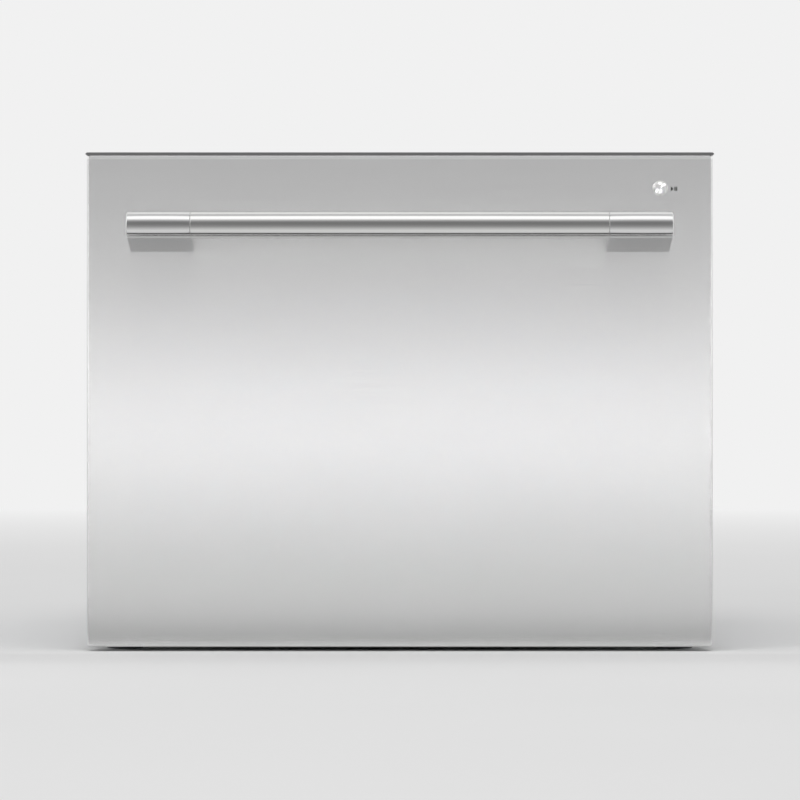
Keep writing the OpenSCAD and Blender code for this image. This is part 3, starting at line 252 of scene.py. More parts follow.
def bracket_steel():
    """The bar's satin on the brackets' round fronts; below the bar's underside the feet are rougher and
    darkened with painted shade.
    """
    finish = Finish("bracket_steel", Metallic=1.0)
    lines = finish.noise(1400, (0.02, 1, 1), 3)
    # Painted shade: below the bar the colour is darkened to grey 0.56 for the shade under the bar; the raised
    # roughness there is the finish.
    low = BAR_Z - BAR_R
    foot = finish.step(finish.height(), low - 0.0002, low + 0.0003, 1.0, 0.0)
    finish.set(Base_Color=finish.mix(foot, finish.mix(lines, grey(0.785), grey(0.815)), grey(0.56)),
               Roughness=foot * 0.1 + 0.17,
               Normal=finish.bump(lines, 0.000006, 0.35))
    return finish


def copper_wire():
    finish = Finish("copper_windings", Metallic=0.9, Roughness=0.35)
    turns = finish.noise(1.0, (300, 300, 2600), 2)
    finish.set(Base_Color=finish.mix(turns, (0.36, 0.13, 0.05, 1), (0.72, 0.33, 0.15, 1)),
               Normal=finish.bump(turns, 0.0002, 0.7))
    return finish


def touch_glass():
    finish = Finish("touch_glass", Coat_Weight=1.0, Coat_Roughness=0.04)
    haze = finish.noise(45, detail=4)
    finish.set(Base_Color=finish.mix(haze, grey(0.008), grey(0.014)),
               Roughness=finish.step(haze, 0.3, 0.7, 0.10, 0.22))
    return finish


def coated_wire():
    """Nylon over steel wire: a soft shine and a faintly uneven dip."""
    finish = Finish("nylon_coating", Coat_Weight=0.25, Coat_Roughness=0.2)
    dip = finish.noise(90, detail=3)
    finish.set(Base_Color=finish.mix(dip, (0.235, 0.245, 0.262, 1), (0.30, 0.31, 0.325, 1)),
               Roughness=finish.step(dip, 0.3, 0.7, 0.32, 0.46),
               Normal=finish.bump(dip, 0.0004, 0.4))
    return finish


GALVANISED = zinc_sheet()
ZINC = brushed("bright_zinc", (0.66, 0.66, 0.63, 1), 0.3, (0.3, 1, 1), 500)
DARK = moulded("dark_moulding", (0.045, 0.047, 0.05, 1), 0.48)
SPRAY = moulded("spray_moulding", (0.135, 0.145, 0.16, 1), 0.42)
LIGHT = moulded("light_moulding", (0.62, 0.64, 0.66, 1), 0.4)
GREY = moulded("grey_moulding", (0.27, 0.28, 0.30, 1), 0.42)
BLACK = moulded("black_moulding", (0.016, 0.016, 0.018, 1), 0.5)
BLUE = moulded("blue_moulding", (0.03, 0.12, 0.33, 1), 0.22, coat=0.6)
BASKET = moulded("basket_moulding", (0.20, 0.21, 0.225, 1), 0.4)
RUBBER = rubber_skin()
PANEL_STEEL = panel_steel()
SATIN = brushed("satin_bar_steel", (0.80, 0.80, 0.79, 1), 0.17, (0.02, 1, 1), 1400, 0.000006, 0.015)
BRACKET = bracket_steel()
SPUN = spun_steel()
TRIM = brushed("anodised_trim", (0.47, 0.47, 0.475, 1), 0.34, (0.03, 1, 1), 1500)
GLASS = touch_glass()
TUB_STEEL = brushed("tub_steel", (0.66, 0.66, 0.655, 1), 0.27, (0.05, 1, 1), 1100, 0.00001, 0.03)
COPPER = copper_wire()
WIRE = coated_wire()
PRINT = Finish("printed_mark", Base_Color=grey(0.006))
PRINT.set(Roughness=PRINT.step(PRINT.noise(900), 0.3, 0.7, 0.4, 0.5))
PALE_PRINT = Finish("pale_print", Base_Color=grey(0.7))
PALE_PRINT.set(Roughness=PALE_PRINT.step(PALE_PRINT.noise(900), 0.3, 0.7, 0.4, 0.5))

SLOTS = {"galvanised": GALVANISED, "zinc": ZINC, "dark_plastic": DARK, "spray_plastic": SPRAY,
         "light_plastic": LIGHT, "grey_plastic": GREY, "black_plastic": BLACK, "blue_plastic": BLUE,
         "rubber": RUBBER, "brushed_steel": PANEL_STEEL, "polished_steel": SATIN, "trim_steel": TRIM,
         "control_glass": GLASS, "stainless": TUB_STEEL, "copper_winding": COPPER,
         "rack_coating": WIRE, "basket_plastic": BASKET}
NODE_SLOT = {part["node"]: part["material_slot"] for part in frame["record"]["subparts"]}
NODE_BODY = {node: body for body, nodes in frame["record"]["behaviour"]["bodies"].items() for node in nodes}


# ---------- mesh helpers ----------

def placed(name, data):
    obj = bpy.data.objects.new(name, data)
    bpy.context.scene.collection.objects.link(obj)
    return obj


def made(name, points, faces=(), edges=()):
    mesh = bpy.data.meshes.new(name)
    mesh.from_pydata([tuple(p) for p in points], edges, faces)
    return placed(name, mesh)


def net(rows, n):
    """The faces between rows of n points each."""
    return [(k * n + i, k * n + i + 1, (k + 1) * n + i + 1, (k + 1) * n + i)
            for k in range(rows - 1) for i in range(n - 1)]


def outward(obj):
    """Merges doubled points and turns every face outwards."""
    work = bmesh.new()
    work.from_mesh(obj.data)
    bmesh.ops.remove_doubles(work, verts=work.verts, dist=1e-6)
    bmesh.ops.recalc_face_normals(work, faces=work.faces)
    work.to_mesh(obj.data)
    work.free()
    return obj


def settled(obj):
    """Turns the object's modifiers into its mesh."""
    graph = bpy.context.evaluated_depsgraph_get()
    mesh = bpy.data.meshes.new_from_object(obj.evaluated_get(graph))
    obj.modifiers.clear()
    obj.data = mesh
    return obj


def smooth(obj, angle):
    """Smooth shading, with sharp edges where faces meet at more than the angle."""
    obj.data.polygons.foreach_set("use_smooth", [True] * len(obj.data.polygons))
    obj.data.set_sharp_from_angle(angle=math.radians(angle))
    return obj


def softened(obj, width):
    """Rounds the edges with a bevel that keeps the flats flat."""
    smooth(obj, 180)
    bevel = obj.modifiers.new("edges", "BEVEL")
    bevel.width = width
    bevel.segments = 2
    bevel.limit_method = "ANGLE"
    bevel.angle_limit = math.radians(30)
    bevel.harden_normals = True
    bevel.use_clamp_overlap = False
    bevel.loop_slide = False
    return settled(obj)


def fit(obj, finish, body, slot, *nodes):
    """Gives a finished piece its material and its body, and hides the CAD nodes it stands for. The slot is
    not used.
    """
    obj.data.materials.clear()
    obj.data.materials.append(finish.material)
    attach(obj, body)
    if nodes:
        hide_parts(*nodes)
    return obj


def evened(mesh, target):
    """The mesh with its flats laid out anew in well-shaped triangles, written to target."""
    work = bmesh.new()
    work.from_mesh(mesh)
    bmesh.ops.remove_doubles(work, verts=work.verts, dist=2e-6)
    bmesh.ops.dissolve_limit(work, angle_limit=math.radians(0.6), verts=work.verts, edges=work.edges)
    bmesh.ops.triangulate(work, faces=work.faces, quad_method="BEAUTY", ngon_method="BEAUTY")
    bare = bpy.data.meshes.new("bare")
    work.to_mesh(bare)
    work.free()
    target.data = bpy.data.meshes.new(target.name)
    target.data.from_pydata([v.co for v in bare.vertices], [], [list(f.vertices) for f in bare.polygons])


def refined(node, width, cuts=()):
    """The CAD node's own shape, with grooves pressed in by the cutters and its edges rounded."""
    obj = made(node + "_piece", [])
    evened(frame["nodes"][node].data, obj)
    for cutter in cuts:
        cut = obj.modifiers.new("groove", "BOOLEAN")
        cut.operation = "DIFFERENCE"
        cut.solver = "EXACT"
        cut.object = cutter
    if cuts:
        settled(obj)
        evened(obj.data, obj)
        for cutter in cuts:
            bpy.data.objects.remove(cutter)
    softened(obj, width)
    slot = NODE_SLOT[node]
    return fit(obj, SLOTS[slot], NODE_BODY[node], slot, node)


def lathe(name, profile, centre, axis="Z", steps=64, closed=False):
    """A profile of (radius, height) turned round an axis through centre. A closed profile makes a ring."""
    points, faces = [], []
    for i in range(steps):
        turn = 2 * math.pi * i / steps
        for r, h in profile:
            points.append((r * math.cos(turn), r * math.sin(turn), h))
    n = len(profile)
    for i in range(steps):
        j = (i + 1) % steps
        for k in range(n if closed else n - 1):
            m = (k + 1) % n
            faces.append((i * n + k, j * n + k, j * n + m, i * n + m))
    obj = made(name, points, faces)
    turned = {"Z": Matrix.Identity(4), "Y": Matrix.Rotation(math.radians(90), 4, "X"),
              "X": Matrix.Rotation(math.radians(90), 4, "Y")}[axis]
    obj.data.transform(Matrix.Translation(centre) @ turned)
    return smooth(outward(obj), 40)


def arc(centre, radius, start, end, steps):
    """Points on a circle, angles in degrees."""
    return [(centre[0] + radius * math.cos(math.radians(start + (end - start) * i / steps)),
             centre[1] + radius * math.sin(math.radians(start + (end - start) * i / steps)))
            for i in range(steps + 1)]


def rounded(w, d, r, steps=6, middle=(0, 0)):
    """A rounded rectangle, counterclockwise from its right side."""
    x, y = w / 2 - r, d / 2 - r
    return [p for cx, cy, a in ((x, y, 0), (-x, y, 90), (-x, -y, 180), (x, -y, 270))
            for p in arc((middle[0] + cx, middle[1] + cy), r, a, a + 90, steps)]


def lofted(name, rings, closed=False):
    """Skin over rings of equally many points. A closed one ends where it began, others have caps."""
    n = len(rings[0])
    last = (len(rings) - 1) * n
    points = [p for ring in rings for p in ring]
    faces = [(k * n + i, k * n + (i + 1) % n, (k + 1) * n + (i + 1) % n, (k + 1) * n + i)
             for k in range(len(rings) - 1) for i in range(n)]
    if closed:
        faces += [(last + i, last + (i + 1) % n, (i + 1) % n, i) for i in range(n)]
    else:
        faces.append(tuple(range(n))[::-1])
        faces.append(tuple(last + i for i in range(n)))
    return outward(made(name, points, faces))


def joined(name, parts):
    """Several meshes as one piece."""
    work = bmesh.new()
    for part in parts:
        work.from_mesh(part.data)
        bpy.data.objects.remove(part)
    obj = made(name, [])
    work.to_mesh(obj.data)
    work.free()
    return obj


def brick(low, high, edge):
    """A box with rounded edges."""
    (x0, y0, z0), (x1, y1, z1) = low, high
    obj = made("brick", [(x, y, z) for x in (x0, x1) for y in (y0, y1) for z in (z0, z1)],
               [(0, 1, 3, 2), (4, 6, 7, 5), (0, 4, 5, 1), (2, 3, 7, 6), (0, 2, 6, 4), (1, 5, 7, 3)])
    return softened(obj, edge)


# ---------- geometry node trees ----------

class Maker(Tree):
    """A Geometry Nodes tree with named inputs, which ends in Realize Instances and Set Material."""

    def __init__(self, name, **inputs):
        super().__init__(bpy.data.node_groups.new(name, "GeometryNodeTree"))
        interface = self.tree.interface
        interface.new_socket("Geometry", in_out="INPUT", socket_type="NodeSocketGeometry")
        self.kept = {}
        for label, start in inputs.items():
            kind = {"int": "NodeSocketInt", "float": "NodeSocketFloat", "tuple": "NodeSocketVector",
                    "str": "NodeSocketObject"}[type(start).__name__]
            socket = interface.new_socket(label, in_out="INPUT", socket_type=kind)
            if kind != "NodeSocketObject":
                socket.default_value = start
            self.kept[label] = socket.identifier
        interface.new_socket("Material", in_out="INPUT", socket_type="NodeSocketMaterial")
        self.kept["Material"] = interface.items_tree[-1].identifier
        interface.new_socket("Geometry", in_out="OUTPUT", socket_type="NodeSocketGeometry")
        self.source = self.tree.nodes.new("NodeGroupInput")
        self.shape = Value(self, self.source.outputs[0])

    def input(self, label):
        return Value(self, self.source.outputs[label])

    def join(self, *shapes):
        whole = self.tree.nodes.new("GeometryNodeJoinGeometry")
        for shape in shapes:
            self.tree.links.new(shape.socket, whole.inputs[0])
        return Value(self, whole.outputs[0])

    def close(self, shape, smooth_faces=True):
        real = self.node("GeometryNodeRealizeInstances", {}, {0: shape})
        faces = self.node("GeometryNodeSetShadeSmooth", {}, {0: real, 2: smooth_faces})
        coated = self.node("GeometryNodeSetMaterial", {}, {0: faces, 2: self.input("Material")})
        end = self.tree.nodes.new("NodeGroupOutput")
        self.tree.links.new(coated.socket, end.inputs[0])

    def run(self, obj, finish, **values):
        """Runs the tree on the object and keeps the mesh that comes out."""
        modifier = obj.modifiers.new(self.tree.name, "NODES")
        modifier.node_group = self.tree
        modifier[self.kept["Material"]] = finish.material
        for label, given in values.items():
            modifier[self.kept[label]] = given
        return settled(obj)


def wire_maker(name, bends):
    """Round wires along the input's edges, with bent corners or round a smooth loop."""
    maker = Maker(name, Diameter=0.004, Sides=10, **({"Bend": 0.01} if bends else {}))
    path = maker.node("GeometryNodeMeshToCurve", {}, {0: maker.shape})
    if bends:
        path = maker.node("GeometryNodeFilletCurve", {"mode": "POLY"},
                          {0: path, "Count": 5, "Radius": maker.input("Bend"), "Limit Radius": True})
    outline = maker.node("GeometryNodeCurvePrimitiveCircle", {},
                         {"Resolution": maker.input("Sides"), "Radius": maker.input("Diameter") / 2})
    maker.close(maker.node("GeometryNodeCurveToMesh", {},
                           {"Curve": path, "Profile Curve": outline, "Fill Caps": True}))
    return maker


def scatter_maker():
    """A copy of Part on every point of the input, turned by Turn."""
    maker = Maker("copies_on_points", Part="", Turn=(0.0, 0.0, 0.0))
    part = maker.node("GeometryNodeObjectInfo", {}, {0: maker.input("Part")}, "Geometry")
    points = maker.node("GeometryNodeMeshToPoints", {}, {0: maker.shape})
    turn = maker.node("FunctionNodeEulerToRotation", {}, {0: maker.input("Turn")})
    maker.close(maker.node("GeometryNodeInstanceOnPoints", {},
                           {"Points": points, "Instance": part, "Rotation": turn}))
    return maker


def around_maker():
    """Count copies of Part round an upright axis through Centre."""
    maker = Maker("copies_around_an_axis", Part="", Count=8, Centre=(0.0, 0.0, 0.0))
    part = maker.node("GeometryNodeObjectInfo", {}, {0: maker.input("Part")}, "Geometry")
    places = maker.node("GeometryNodeMeshLine", {},
                        {"Count": maker.input("Count"), "Start Location": maker.input("Centre"),
                         "Offset": (0.0, 0.0, 0.0)})
    step = maker.node("GeometryNodeInputIndex") * (2 * math.pi) / maker.input("Count")
    turn = maker.node("FunctionNodeAxisAngleToRotation", {}, {"Axis": (0.0, 0.0, 1.0), "Angle": step})
    maker.close(maker.node("GeometryNodeInstanceOnPoints", {},
                           {"Points": places, "Instance": part, "Rotation": turn}))
    return maker


def hose_maker():
    """A hose along the input's edges: smooth, or with ribs at Pitch."""
    maker = Maker("ribbed_hose", Diameter=0.015, Bend=0.012, Pitch=0.004, Ribs=0.06)
    path = maker.node("GeometryNodeMeshToCurve", {}, {0: maker.shape})
    bent = maker.node("GeometryNodeFilletCurve", {"mode": "POLY"},
                      {0: path, "Count": 8, "Radius": maker.input("Bend"), "Limit Radius": True})
    fine = maker.node("GeometryNodeResampleCurve", {"mode": "LENGTH"},
                      {0: bent, "Length": maker.input("Pitch") / 6})
    along = maker.node("GeometryNodeSplineParameter", {}, {}, "Length")
    wave = (along * (2 * math.pi) / maker.input("Pitch")).sine()
    width = 1.0 - maker.input("Ribs") + wave * maker.input("Ribs")
    outline = maker.node("GeometryNodeCurvePrimitiveCircle", {},
                         {"Resolution": 20, "Radius": maker.input("Diameter") / 2})
    maker.close(maker.node("GeometryNodeCurveToMesh", {},
                           {"Curve": fine, "Profile Curve": outline, "Scale": width, "Fill Caps": True}))
    return maker


def sieve_maker():
    """A round plate with a hole at every point of the input, as wide as the point's hole_radius."""
    maker = Maker("perforated_plate", Radius=0.1, Centre=(0.0, 0.0, 0.0), Thickness=0.002)
    rim = maker.node("GeometryNodeTransform", {},
                     {0: maker.node("GeometryNodeCurvePrimitiveCircle", {},
                                    {"Resolution": 96, "Radius": maker.input("Radius")}),
                      "Translation": maker.input("Centre")})
    hole = maker.node("GeometryNodeCurvePrimitiveCircle", {}, {"Resolution": 16, "Radius": 1.0})
    points = maker.node("GeometryNodeMeshToPoints", {}, {0: maker.shape})
    size = maker.node("GeometryNodeInputNamedAttribute", {"data_type": "FLOAT"}, {"Name": "hole_radius"})
    holes = maker.node("GeometryNodeRealizeInstances", {},
                       {0: maker.node("GeometryNodeInstanceOnPoints", {},
                                      {"Points": points, "Instance": hole, "Scale": size})})
    sheet = maker.node("GeometryNodeFillCurve", {"mode": "TRIANGLES"}, {0: maker.join(rim, holes)})
    under = maker.node("GeometryNodeFlipFaces", {}, {0: sheet})
    top = maker.node("GeometryNodeExtrudeMesh", {"mode": "FACES"},
                     {0: sheet, "Offset": (0.0, 0.0, 1.0), "Offset Scale": maker.input("Thickness"),
                      "Individual": False})
    whole = maker.join(top, under)
    maker.close(maker.node("GeometryNodeMergeByDistance", {}, {0: whole, "Distance": 1e-6}), False)
    return maker


WIRES = wire_maker("bent_wires", True)
LOOPS = wire_maker("wire_loops", False)
SCATTER = scatter_maker()
AROUND = around_maker()
HOSE = hose_maker()
SIEVE = sieve_maker()
WIRE_D = 0.004                              # the rack's wires


def path_object(name, *paths, closed=False):
    """Edges through lists of points, for a tree that follows them."""
    points, edges = [], []
    for path in paths:
        first = len(points)
        points += path
        edges += [(first + i, first + i + 1) for i in range(len(path) - 1)]
        if closed:
            edges.append((len(points) - 1, first))
    return made(name, points, edges=edges)


def copies(name, part, places, finish, turn=(0.0, 0.0, 0.0)):
    """One piece of many copies of a part, which is used up."""
    obj = SCATTER.run(path_object(name, *[[p] for p in places]), finish, Part=part, Turn=turn)
    bpy.data.objects.remove(part)
    return smooth(obj, 40)


def wires(name, paths, bend, sides, diameter=WIRE_D):
    """Coated wires through lists of points, their corners bent."""
    return WIRES.run(path_object(name, *paths), WIRE, Diameter=diameter, Bend=bend, Sides=sides)


# ---------- camera, floor and light ----------

BACKGROUND = 0.88                           # what the camera and polished metal see behind the object
AMBIENT = 0.62                              # what lights the object from all round


def shown_rays(tree):
    """1 for a camera, mirror or glass ray, 0 for one that carries light."""
    rays = tree.node("ShaderNodeLightPath").socket.node.outputs
    either = Value(tree, rays["Is Camera Ray"]) + Value(tree, rays["Is Glossy Ray"])
    return either + Value(tree, rays["Is Transmission Ray"])


def camera():
    obj = placed("camera", bpy.data.cameras.new("camera"))
    obj.data.lens = 170.2
    obj.data.sensor_width = 36
    obj.data.clip_end = 100
    obj.location = (0.0002, FACE - 3.6, 0.2392)
    obj.rotation_euler = (math.radians(90), 0, 0)
    bpy.context.scene.camera = obj
    bpy.context.scene.view_settings.view_transform = "Standard"


def pale_floor():
    """A pale floor that fades into the backdrop, as mirrors and the camera see it."""
    reach = 20
    corners = [(-reach, -reach, 0), (reach, -reach, 0), (reach, reach, 0), (-reach, reach, 0)]
    floor = made("studio_floor", corners, [(0, 1, 2, 3)])
    pale = Finish("pale_floor", Roughness=0.9)
    pale.set(Base_Color=pale.mix(pale.noise(2, detail=2), grey(0.80), grey(0.83)))
    far = pale.node("ShaderNodeVectorMath", {"operation": "LENGTH"}, {0: pale.place}, "Value")
    white = pale.node("ShaderNodeEmission", {}, {"Color": grey(BACKGROUND), "Strength": 1.0})
    plain = Value(pale, pale.shader.outputs["BSDF"])
    fade = shown_rays(pale) * pale.step(far, 0.9, 4.5)
    blend = pale.node("ShaderNodeMixShader", {}, {0: fade, 1: plain, 2: white})
    pale.give(pale.tree.nodes["Material Output"].inputs["Surface"], blend)
    floor.data.materials.append(pale.material)


def backdrop():
    world = bpy.data.worlds.new("studio")
    world.use_nodes = True
    bpy.context.scene.world = world
    sky = Tree(world.node_tree)
    background = world.node_tree.nodes["Background"]
    sky.give(background.inputs["Color"], (1, 1, 1, 1))
    sky.give(background.inputs["Strength"], shown_rays(sky) * (BACKGROUND - AMBIENT) + AMBIENT)


def lamp(name, place, aim, width, height, watts):
    """A rectangular lamp that the camera doesn't see."""
    obj = placed(name, bpy.data.lights.new(name, "AREA"))
    obj.data.shape = "RECTANGLE"
    obj.data.size = width
    obj.data.size_y = height
    obj.data.energy = watts
    obj.location = place
    obj.rotation_euler = (Vector(aim) - Vector(place)).to_track_quat("-Z", "Y").to_euler()
    obj.visible_camera = False
    return obj


def shine_on(lamps, *pieces):
    """Lets lamps shine from these pieces alone, as highlights that nothing else shades."""
    lit = bpy.data.collections.new("lit_" + pieces[0])
    for piece in pieces:
        lit.objects.link(bpy.data.objects[piece])
    for light in lamps:
        light.visible_diffuse = False
        light.light_linking.receiver_collection = lit
        light.light_linking.blocker_collection = lit


def room_lamps():
    middle = (0, 0, 0.3)
    lamp("overhead_softbox", (0, -0.9, 3.2), middle, 2.6, 1.8, 30)
    lamp("side_softbox", (-2.6, -2.4, 1.9), middle, 1.4, 1.4, 12)


def panel_lamps():
    """A thin strip and a broad box: the brushed panel spreads them into its bright band."""
    shine_on([lamp("panel_strip", (0, -1.6, 0.245), (0, FACE, 0.245), 4.8, 0.03, 5.3),
              lamp("panel_fill", (0, -1.9, 0.66), (0, FACE, 0.66), 4.8, 0.76, 3.1)],
             "front_skin_piece")


def button_lamps():
    """Three small lamps, each of which draws a wedge on the button's spun face."""
    size = 0.16
    lamps = [lamp("button_" + name, (BUTTON.x + x, -1.9, BUTTON.z + z), (BUTTON.x, FACE, BUTTON.z),
                  size, size, watts)
             for name, x, z, watts in (("upper_left", -1.2, 0.9, 8), ("upper_right", 1.0, 0.9, 8),
                                       ("front", 0.0, 0.1, 1))]
    shine_on(lamps, "start_button_piece", "button_bezel_piece")


def reflector():
    """The studio's curved reflector in front of the handle: only polished metal mirrors it.

    Each card is an angle above the level line and its glow, which fades evenly to the next one.
    """
    reach, above_floor = 2.4, 0.004
    middle_x, side_glow = 1.2, 0.25
    cards = [(-92, 0.05), (-80, 0.05), (-70, 0.75), (-50, 0.75), (-15, 0.3), (5, 0.2), (20, 0.2), (35, 0.4),
             (50, 1.1), (60, 1.35), (70, 1.35), (85, 0.5), (95, 0.4), (105, 0.95), (125, 0.95)]
    widths = (-3.4, -1.7, -1.1, 1.1, 1.7, 3.4)
    points, glow = [], []
    rows = 104
    for k in range(rows + 1):
        angle = cards[0][0] + (cards[-1][0] - cards[0][0]) * k / rows
        level = next(a[1] + (b[1] - a[1]) * (angle - a[0]) / (b[0] - a[0])
                     for a, b in zip(cards, cards[1:]) if angle <= b[0] + 1e-6)
        turn = math.radians(angle)
        down = -math.sin(turn)
        r = min(reach, (BAR_Z - above_floor) / down) if down > 0 else reach
        for x in widths:
            points.append((x, BAR_Y - r * math.cos(turn), BAR_Z + r * math.sin(turn)))
            glow.append(level if abs(x) < middle_x else min(1.0, level + side_glow))
    obj = made("studio_reflector", points, net(rows + 1, len(widths)))
    obj.data.attributes.new("glow", "FLOAT", "POINT").data.foreach_set("value", glow)
    material = bpy.data.materials.new("reflector_glow")
    material.use_nodes = True
    tree = Tree(material.node_tree)
    tree.tree.nodes.remove(tree.tree.nodes["Principled BSDF"])
    level = tree.node("ShaderNodeAttribute", {"attribute_name": "glow"}, {}, "Fac")
    shine = tree.node("ShaderNodeEmission", {}, {"Color": (1, 1, 1, 1), "Strength": level})
    tree.give(tree.tree.nodes["Material Output"].inputs["Surface"], shine)
    obj.data.materials.append(material)
    obj.visible_camera = False
    obj.visible_diffuse = False
    obj.visible_shadow = False
    obj.visible_transmission = False


camera()
pale_floor()
backdrop()
room_lamps()
reflector()


# ---------- front ----------

def front_skin():
    """The folded steel sheet: rings from the back edge of the returns, round the fold, to the flat."""
    top_fold, corner, lap = 0.0008, 0.003, 0.0004
    fold = [(FOLD * (1 - math.sin(math.radians(a))), FOLD * (1 - math.cos(math.radians(a))))
            for a in range(0, 91, 10)]
    rings = []
    for back, inset in [(PANEL - FACE, 0.0), (FOLD + 0.0003, 0.0)] + fold + [(0.0, FOLD + lap)]:
        r = max(corner - inset, lap)
        x, low = SKIN_X - inset, SKIN_LOW + inset
        top = SKIN_TOP - top_fold * min(1.0, inset / FOLD)
        line = ([(-x, top)] + [(-p[0], p[1]) for p in arc((x - r, low + r), r, 0, -90, 6)]
                + arc((x - r, low + r), r, -90, 0, 6) + [(x, top)])
        rings.append([(p[0], FACE + back, p[1]) for p in line])
    n = len(rings[0])
    points = [p for ring in rings for p in ring]
    faces = net(len(rings), n)
    last = len(points) - n
    faces.append(tuple(last + i for i in range(n)))
    x_in = SKIN_X - FOLD - lap
    first = len(points)
    lip = [(FACE + top_fold * (1 - math.cos(math.radians(a))),
            SKIN_TOP - top_fold * (1 - math.sin(math.radians(a)))) for a in range(0, 91, 15)]
    for y, z in lip + [(FACE + 0.004, SKIN_TOP)]:
        points += [(-x_in, y, z), (x_in, y, z)]
    for k in range(first, len(points) - 2, 2):
        faces.append((k, k + 2, k + 3, k + 1))
    obj = outward(made("front_skin_piece", points, faces))
    if sum(p.normal.y * p.area for p in obj.data.polygons if abs(p.normal.y) > 0.9) > 0:
        obj.data.flip_normals()
    sheet = obj.modifiers.new("sheet", "SOLIDIFY")
    sheet.thickness = 0.001
    sheet.offset = -1
    smooth(settled(obj), 50)
    fit(obj, PANEL_STEEL, "drawer", "brushed_steel", "front_skin")


def handle_bar():
    """A thick-walled tube whose ends are turned round."""
    inner, edge = BAR_R - 0.002, 0.0005
    profile = ([(inner, -BAR_X)] + [(BAR_R - edge + edge * math.sin(a), -BAR_X + edge - edge * math.cos(a))
                                    for a in (0, 0.5, 1.05, math.pi / 2)]
               + [(BAR_R - edge + edge * math.cos(a), BAR_X - edge + edge * math.sin(a))
                  for a in (0, 0.5, 1.05, math.pi / 2)] + [(inner, BAR_X)])
    fit(lathe("handle_bar_piece", profile, (0, BAR_Y, BAR_Z), "X", 128, True),
        SATIN, "drawer", "polished_steel", "handle_bar")


def handle_end(side):
    """An end bracket: the bar's round front runs into a foot that stands on the panel."""
    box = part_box("handle_ends")
    root = BAR_Z - box[0].z
    out = FACE - BAR_Y
    end, edge = box[1].x, 0.0012
    seam = [(BAR_X + 0.0001, 0.0006), (BAR_X + 0.0003, 0.0002), (BAR_X + 0.0007, 0.0)]
    rim = [(end - edge + edge * math.sin(math.radians(a)), edge * (1 - math.cos(math.radians(a))))
           for a in (0, 25, 50, 75, 90)]
    rings = []
    for x, inset in seam + rim:
        r = BAR_R - inset
        foot = (out, -root + inset)
        tangent = math.atan2(foot[1], foot[0]) - math.acos(r / math.hypot(*foot))
        sweep = math.degrees(tangent) % 360
        line = ([(out, r)] + arc((0, 0), r, 90, sweep, 56) + [(out - edge, foot[1] + 0.00008), foot])
        rings.append([(side * x, BAR_Y + p[0], BAR_Z + p[1]) for p in line])
    return smooth(lofted("bracket", rings), 32)


def handle_ends():
    fit(joined("handle_ends_piece", [handle_end(-1), handle_end(1)]),
        BRACKET, "drawer", "polished_steel", "handle_ends")


def start_button():
    """A turned cap in a polished ring."""
    y_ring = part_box("button_bezel")[0].y
    y_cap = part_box("start_button")[0].y
    outer, inner = 0.0071, 0.0059
    mid, half = (outer + inner) / 2, (outer - inner) / 2
    ring = ([(inner, 0.010), (inner, half)] + [(mid - half * math.cos(a), half * (1 - math.sin(a)))
                                               for a in (0.4, 0.8, 1.2, 1.57, 1.95, 2.35, 2.75)]
            + [(outer, half), (outer, 0.010)])
    bezel = lathe("button_bezel_piece", [(r, -h) for r, h in ring],
                  (BUTTON.x, y_ring, BUTTON.z), "Y", 64, True)
    fit(bezel, SATIN, "drawer", "polished_steel", "button_bezel")
    r = 0.0058
    cap = [(0.0, 0.0003), (r * 0.35, 0.00024), (r * 0.7, 0.00008), (r - 0.0006, 0.0),
           (r - 0.0002, 0.0001), (r, 0.0004), (r, 0.008), (0.0, 0.008)]
    button = lathe("start_button_piece", [(q, -h) for q, h in cap], (BUTTON.x, y_cap, BUTTON.z), "Y", 64)
    fit(button, SPUN, "start_button", "brushed_steel", "start_button")


def start_mark():
    """The printed play and pause sign beside the button."""
    z = BUTTON.z - 0.0006
    left, tip, half = 0.2580, 0.2606, 0.0021
    shapes = [[(left, z - half), (tip, z), (left, z + half)]]
    bar_w, bar_half = 0.0011, 0.0019
    for x in (0.2614, 0.2630):
        shapes.append([(x, z - bar_half), (x + bar_w, z - bar_half),
                       (x + bar_w, z + bar_half), (x, z + bar_half)])
    parts = [lofted("sign", [[(x, FACE - depth, h) for x, h in shape] for depth in (-0.0001, 0.00004)])
             for shape in shapes]
    fit(joined("start_sign", parts), PRINT, "drawer", "brushed_steel")


def touch_marks():
    """Small printed dots on the touch strip."""
    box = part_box("control_strip")
    y = (box[0].y + box[1].y) / 2
    pitch, r, print_t = 0.022, 0.0009, 0.00003
    dot = lathe("dot", [(0.0, 0.0), (r, 0.0), (r, print_t), (0.0, print_t)], (0, 0, 0), "Z", 16)
    places = [(x * pitch, y, box[1].z - 0.00001) for x in (-6, -5, -4, -3, -1, 0, 1, 3, 4, 5, 6)]
    fit(copies("touch_dots", dot, places, PALE_PRINT), PALE_PRINT, "drawer", "control_glass")


front_skin()
handle_bar()
handle_ends()
start_button()
start_mark()
touch_marks()
for node, edge in (("top_trim", 0.00025), ("control_strip", 0.0002), ("front_frame", 0.0004)):
    refined(node, edge)
panel_lamps()
button_lamps()


# ---------- bent sheet, mouldings and cuts ----------

def bent(line, radius):
    """The line with its inner corners rounded."""
    steps = 4
    path = [Vector(line[0])]
    for a, b, c in zip(line, line[1:], line[2:]):
        b = Vector(b)
        u, v = Vector(a) - b, Vector(c) - b
        reach = min(radius / math.tan(u.angle(v) / 2), 0.49 * u.length, 0.49 * v.length)
        start, end = b + u.normalized() * reach, b + v.normalized() * reach
        path += [start * (1 - t) ** 2 + b * (2 * t * (1 - t)) + end * t ** 2
                 for t in [k / steps for k in range(steps + 1)]]
    return path + [Vector(line[-1])]


def thick(line, t):
    """A strip of even thickness along an open line, as a closed outline."""
    left, right = [], []
    for i, p in enumerate(line):
        along = (Vector(line[min(i + 1, len(line) - 1)]) - Vector(line[max(i - 1, 0)])).normalized()
        side = Vector((-along.y, along.x)) * t / 2
        left.append(Vector(p) + side)
        right.append(Vector(p) - side)
    return left + right[::-1]


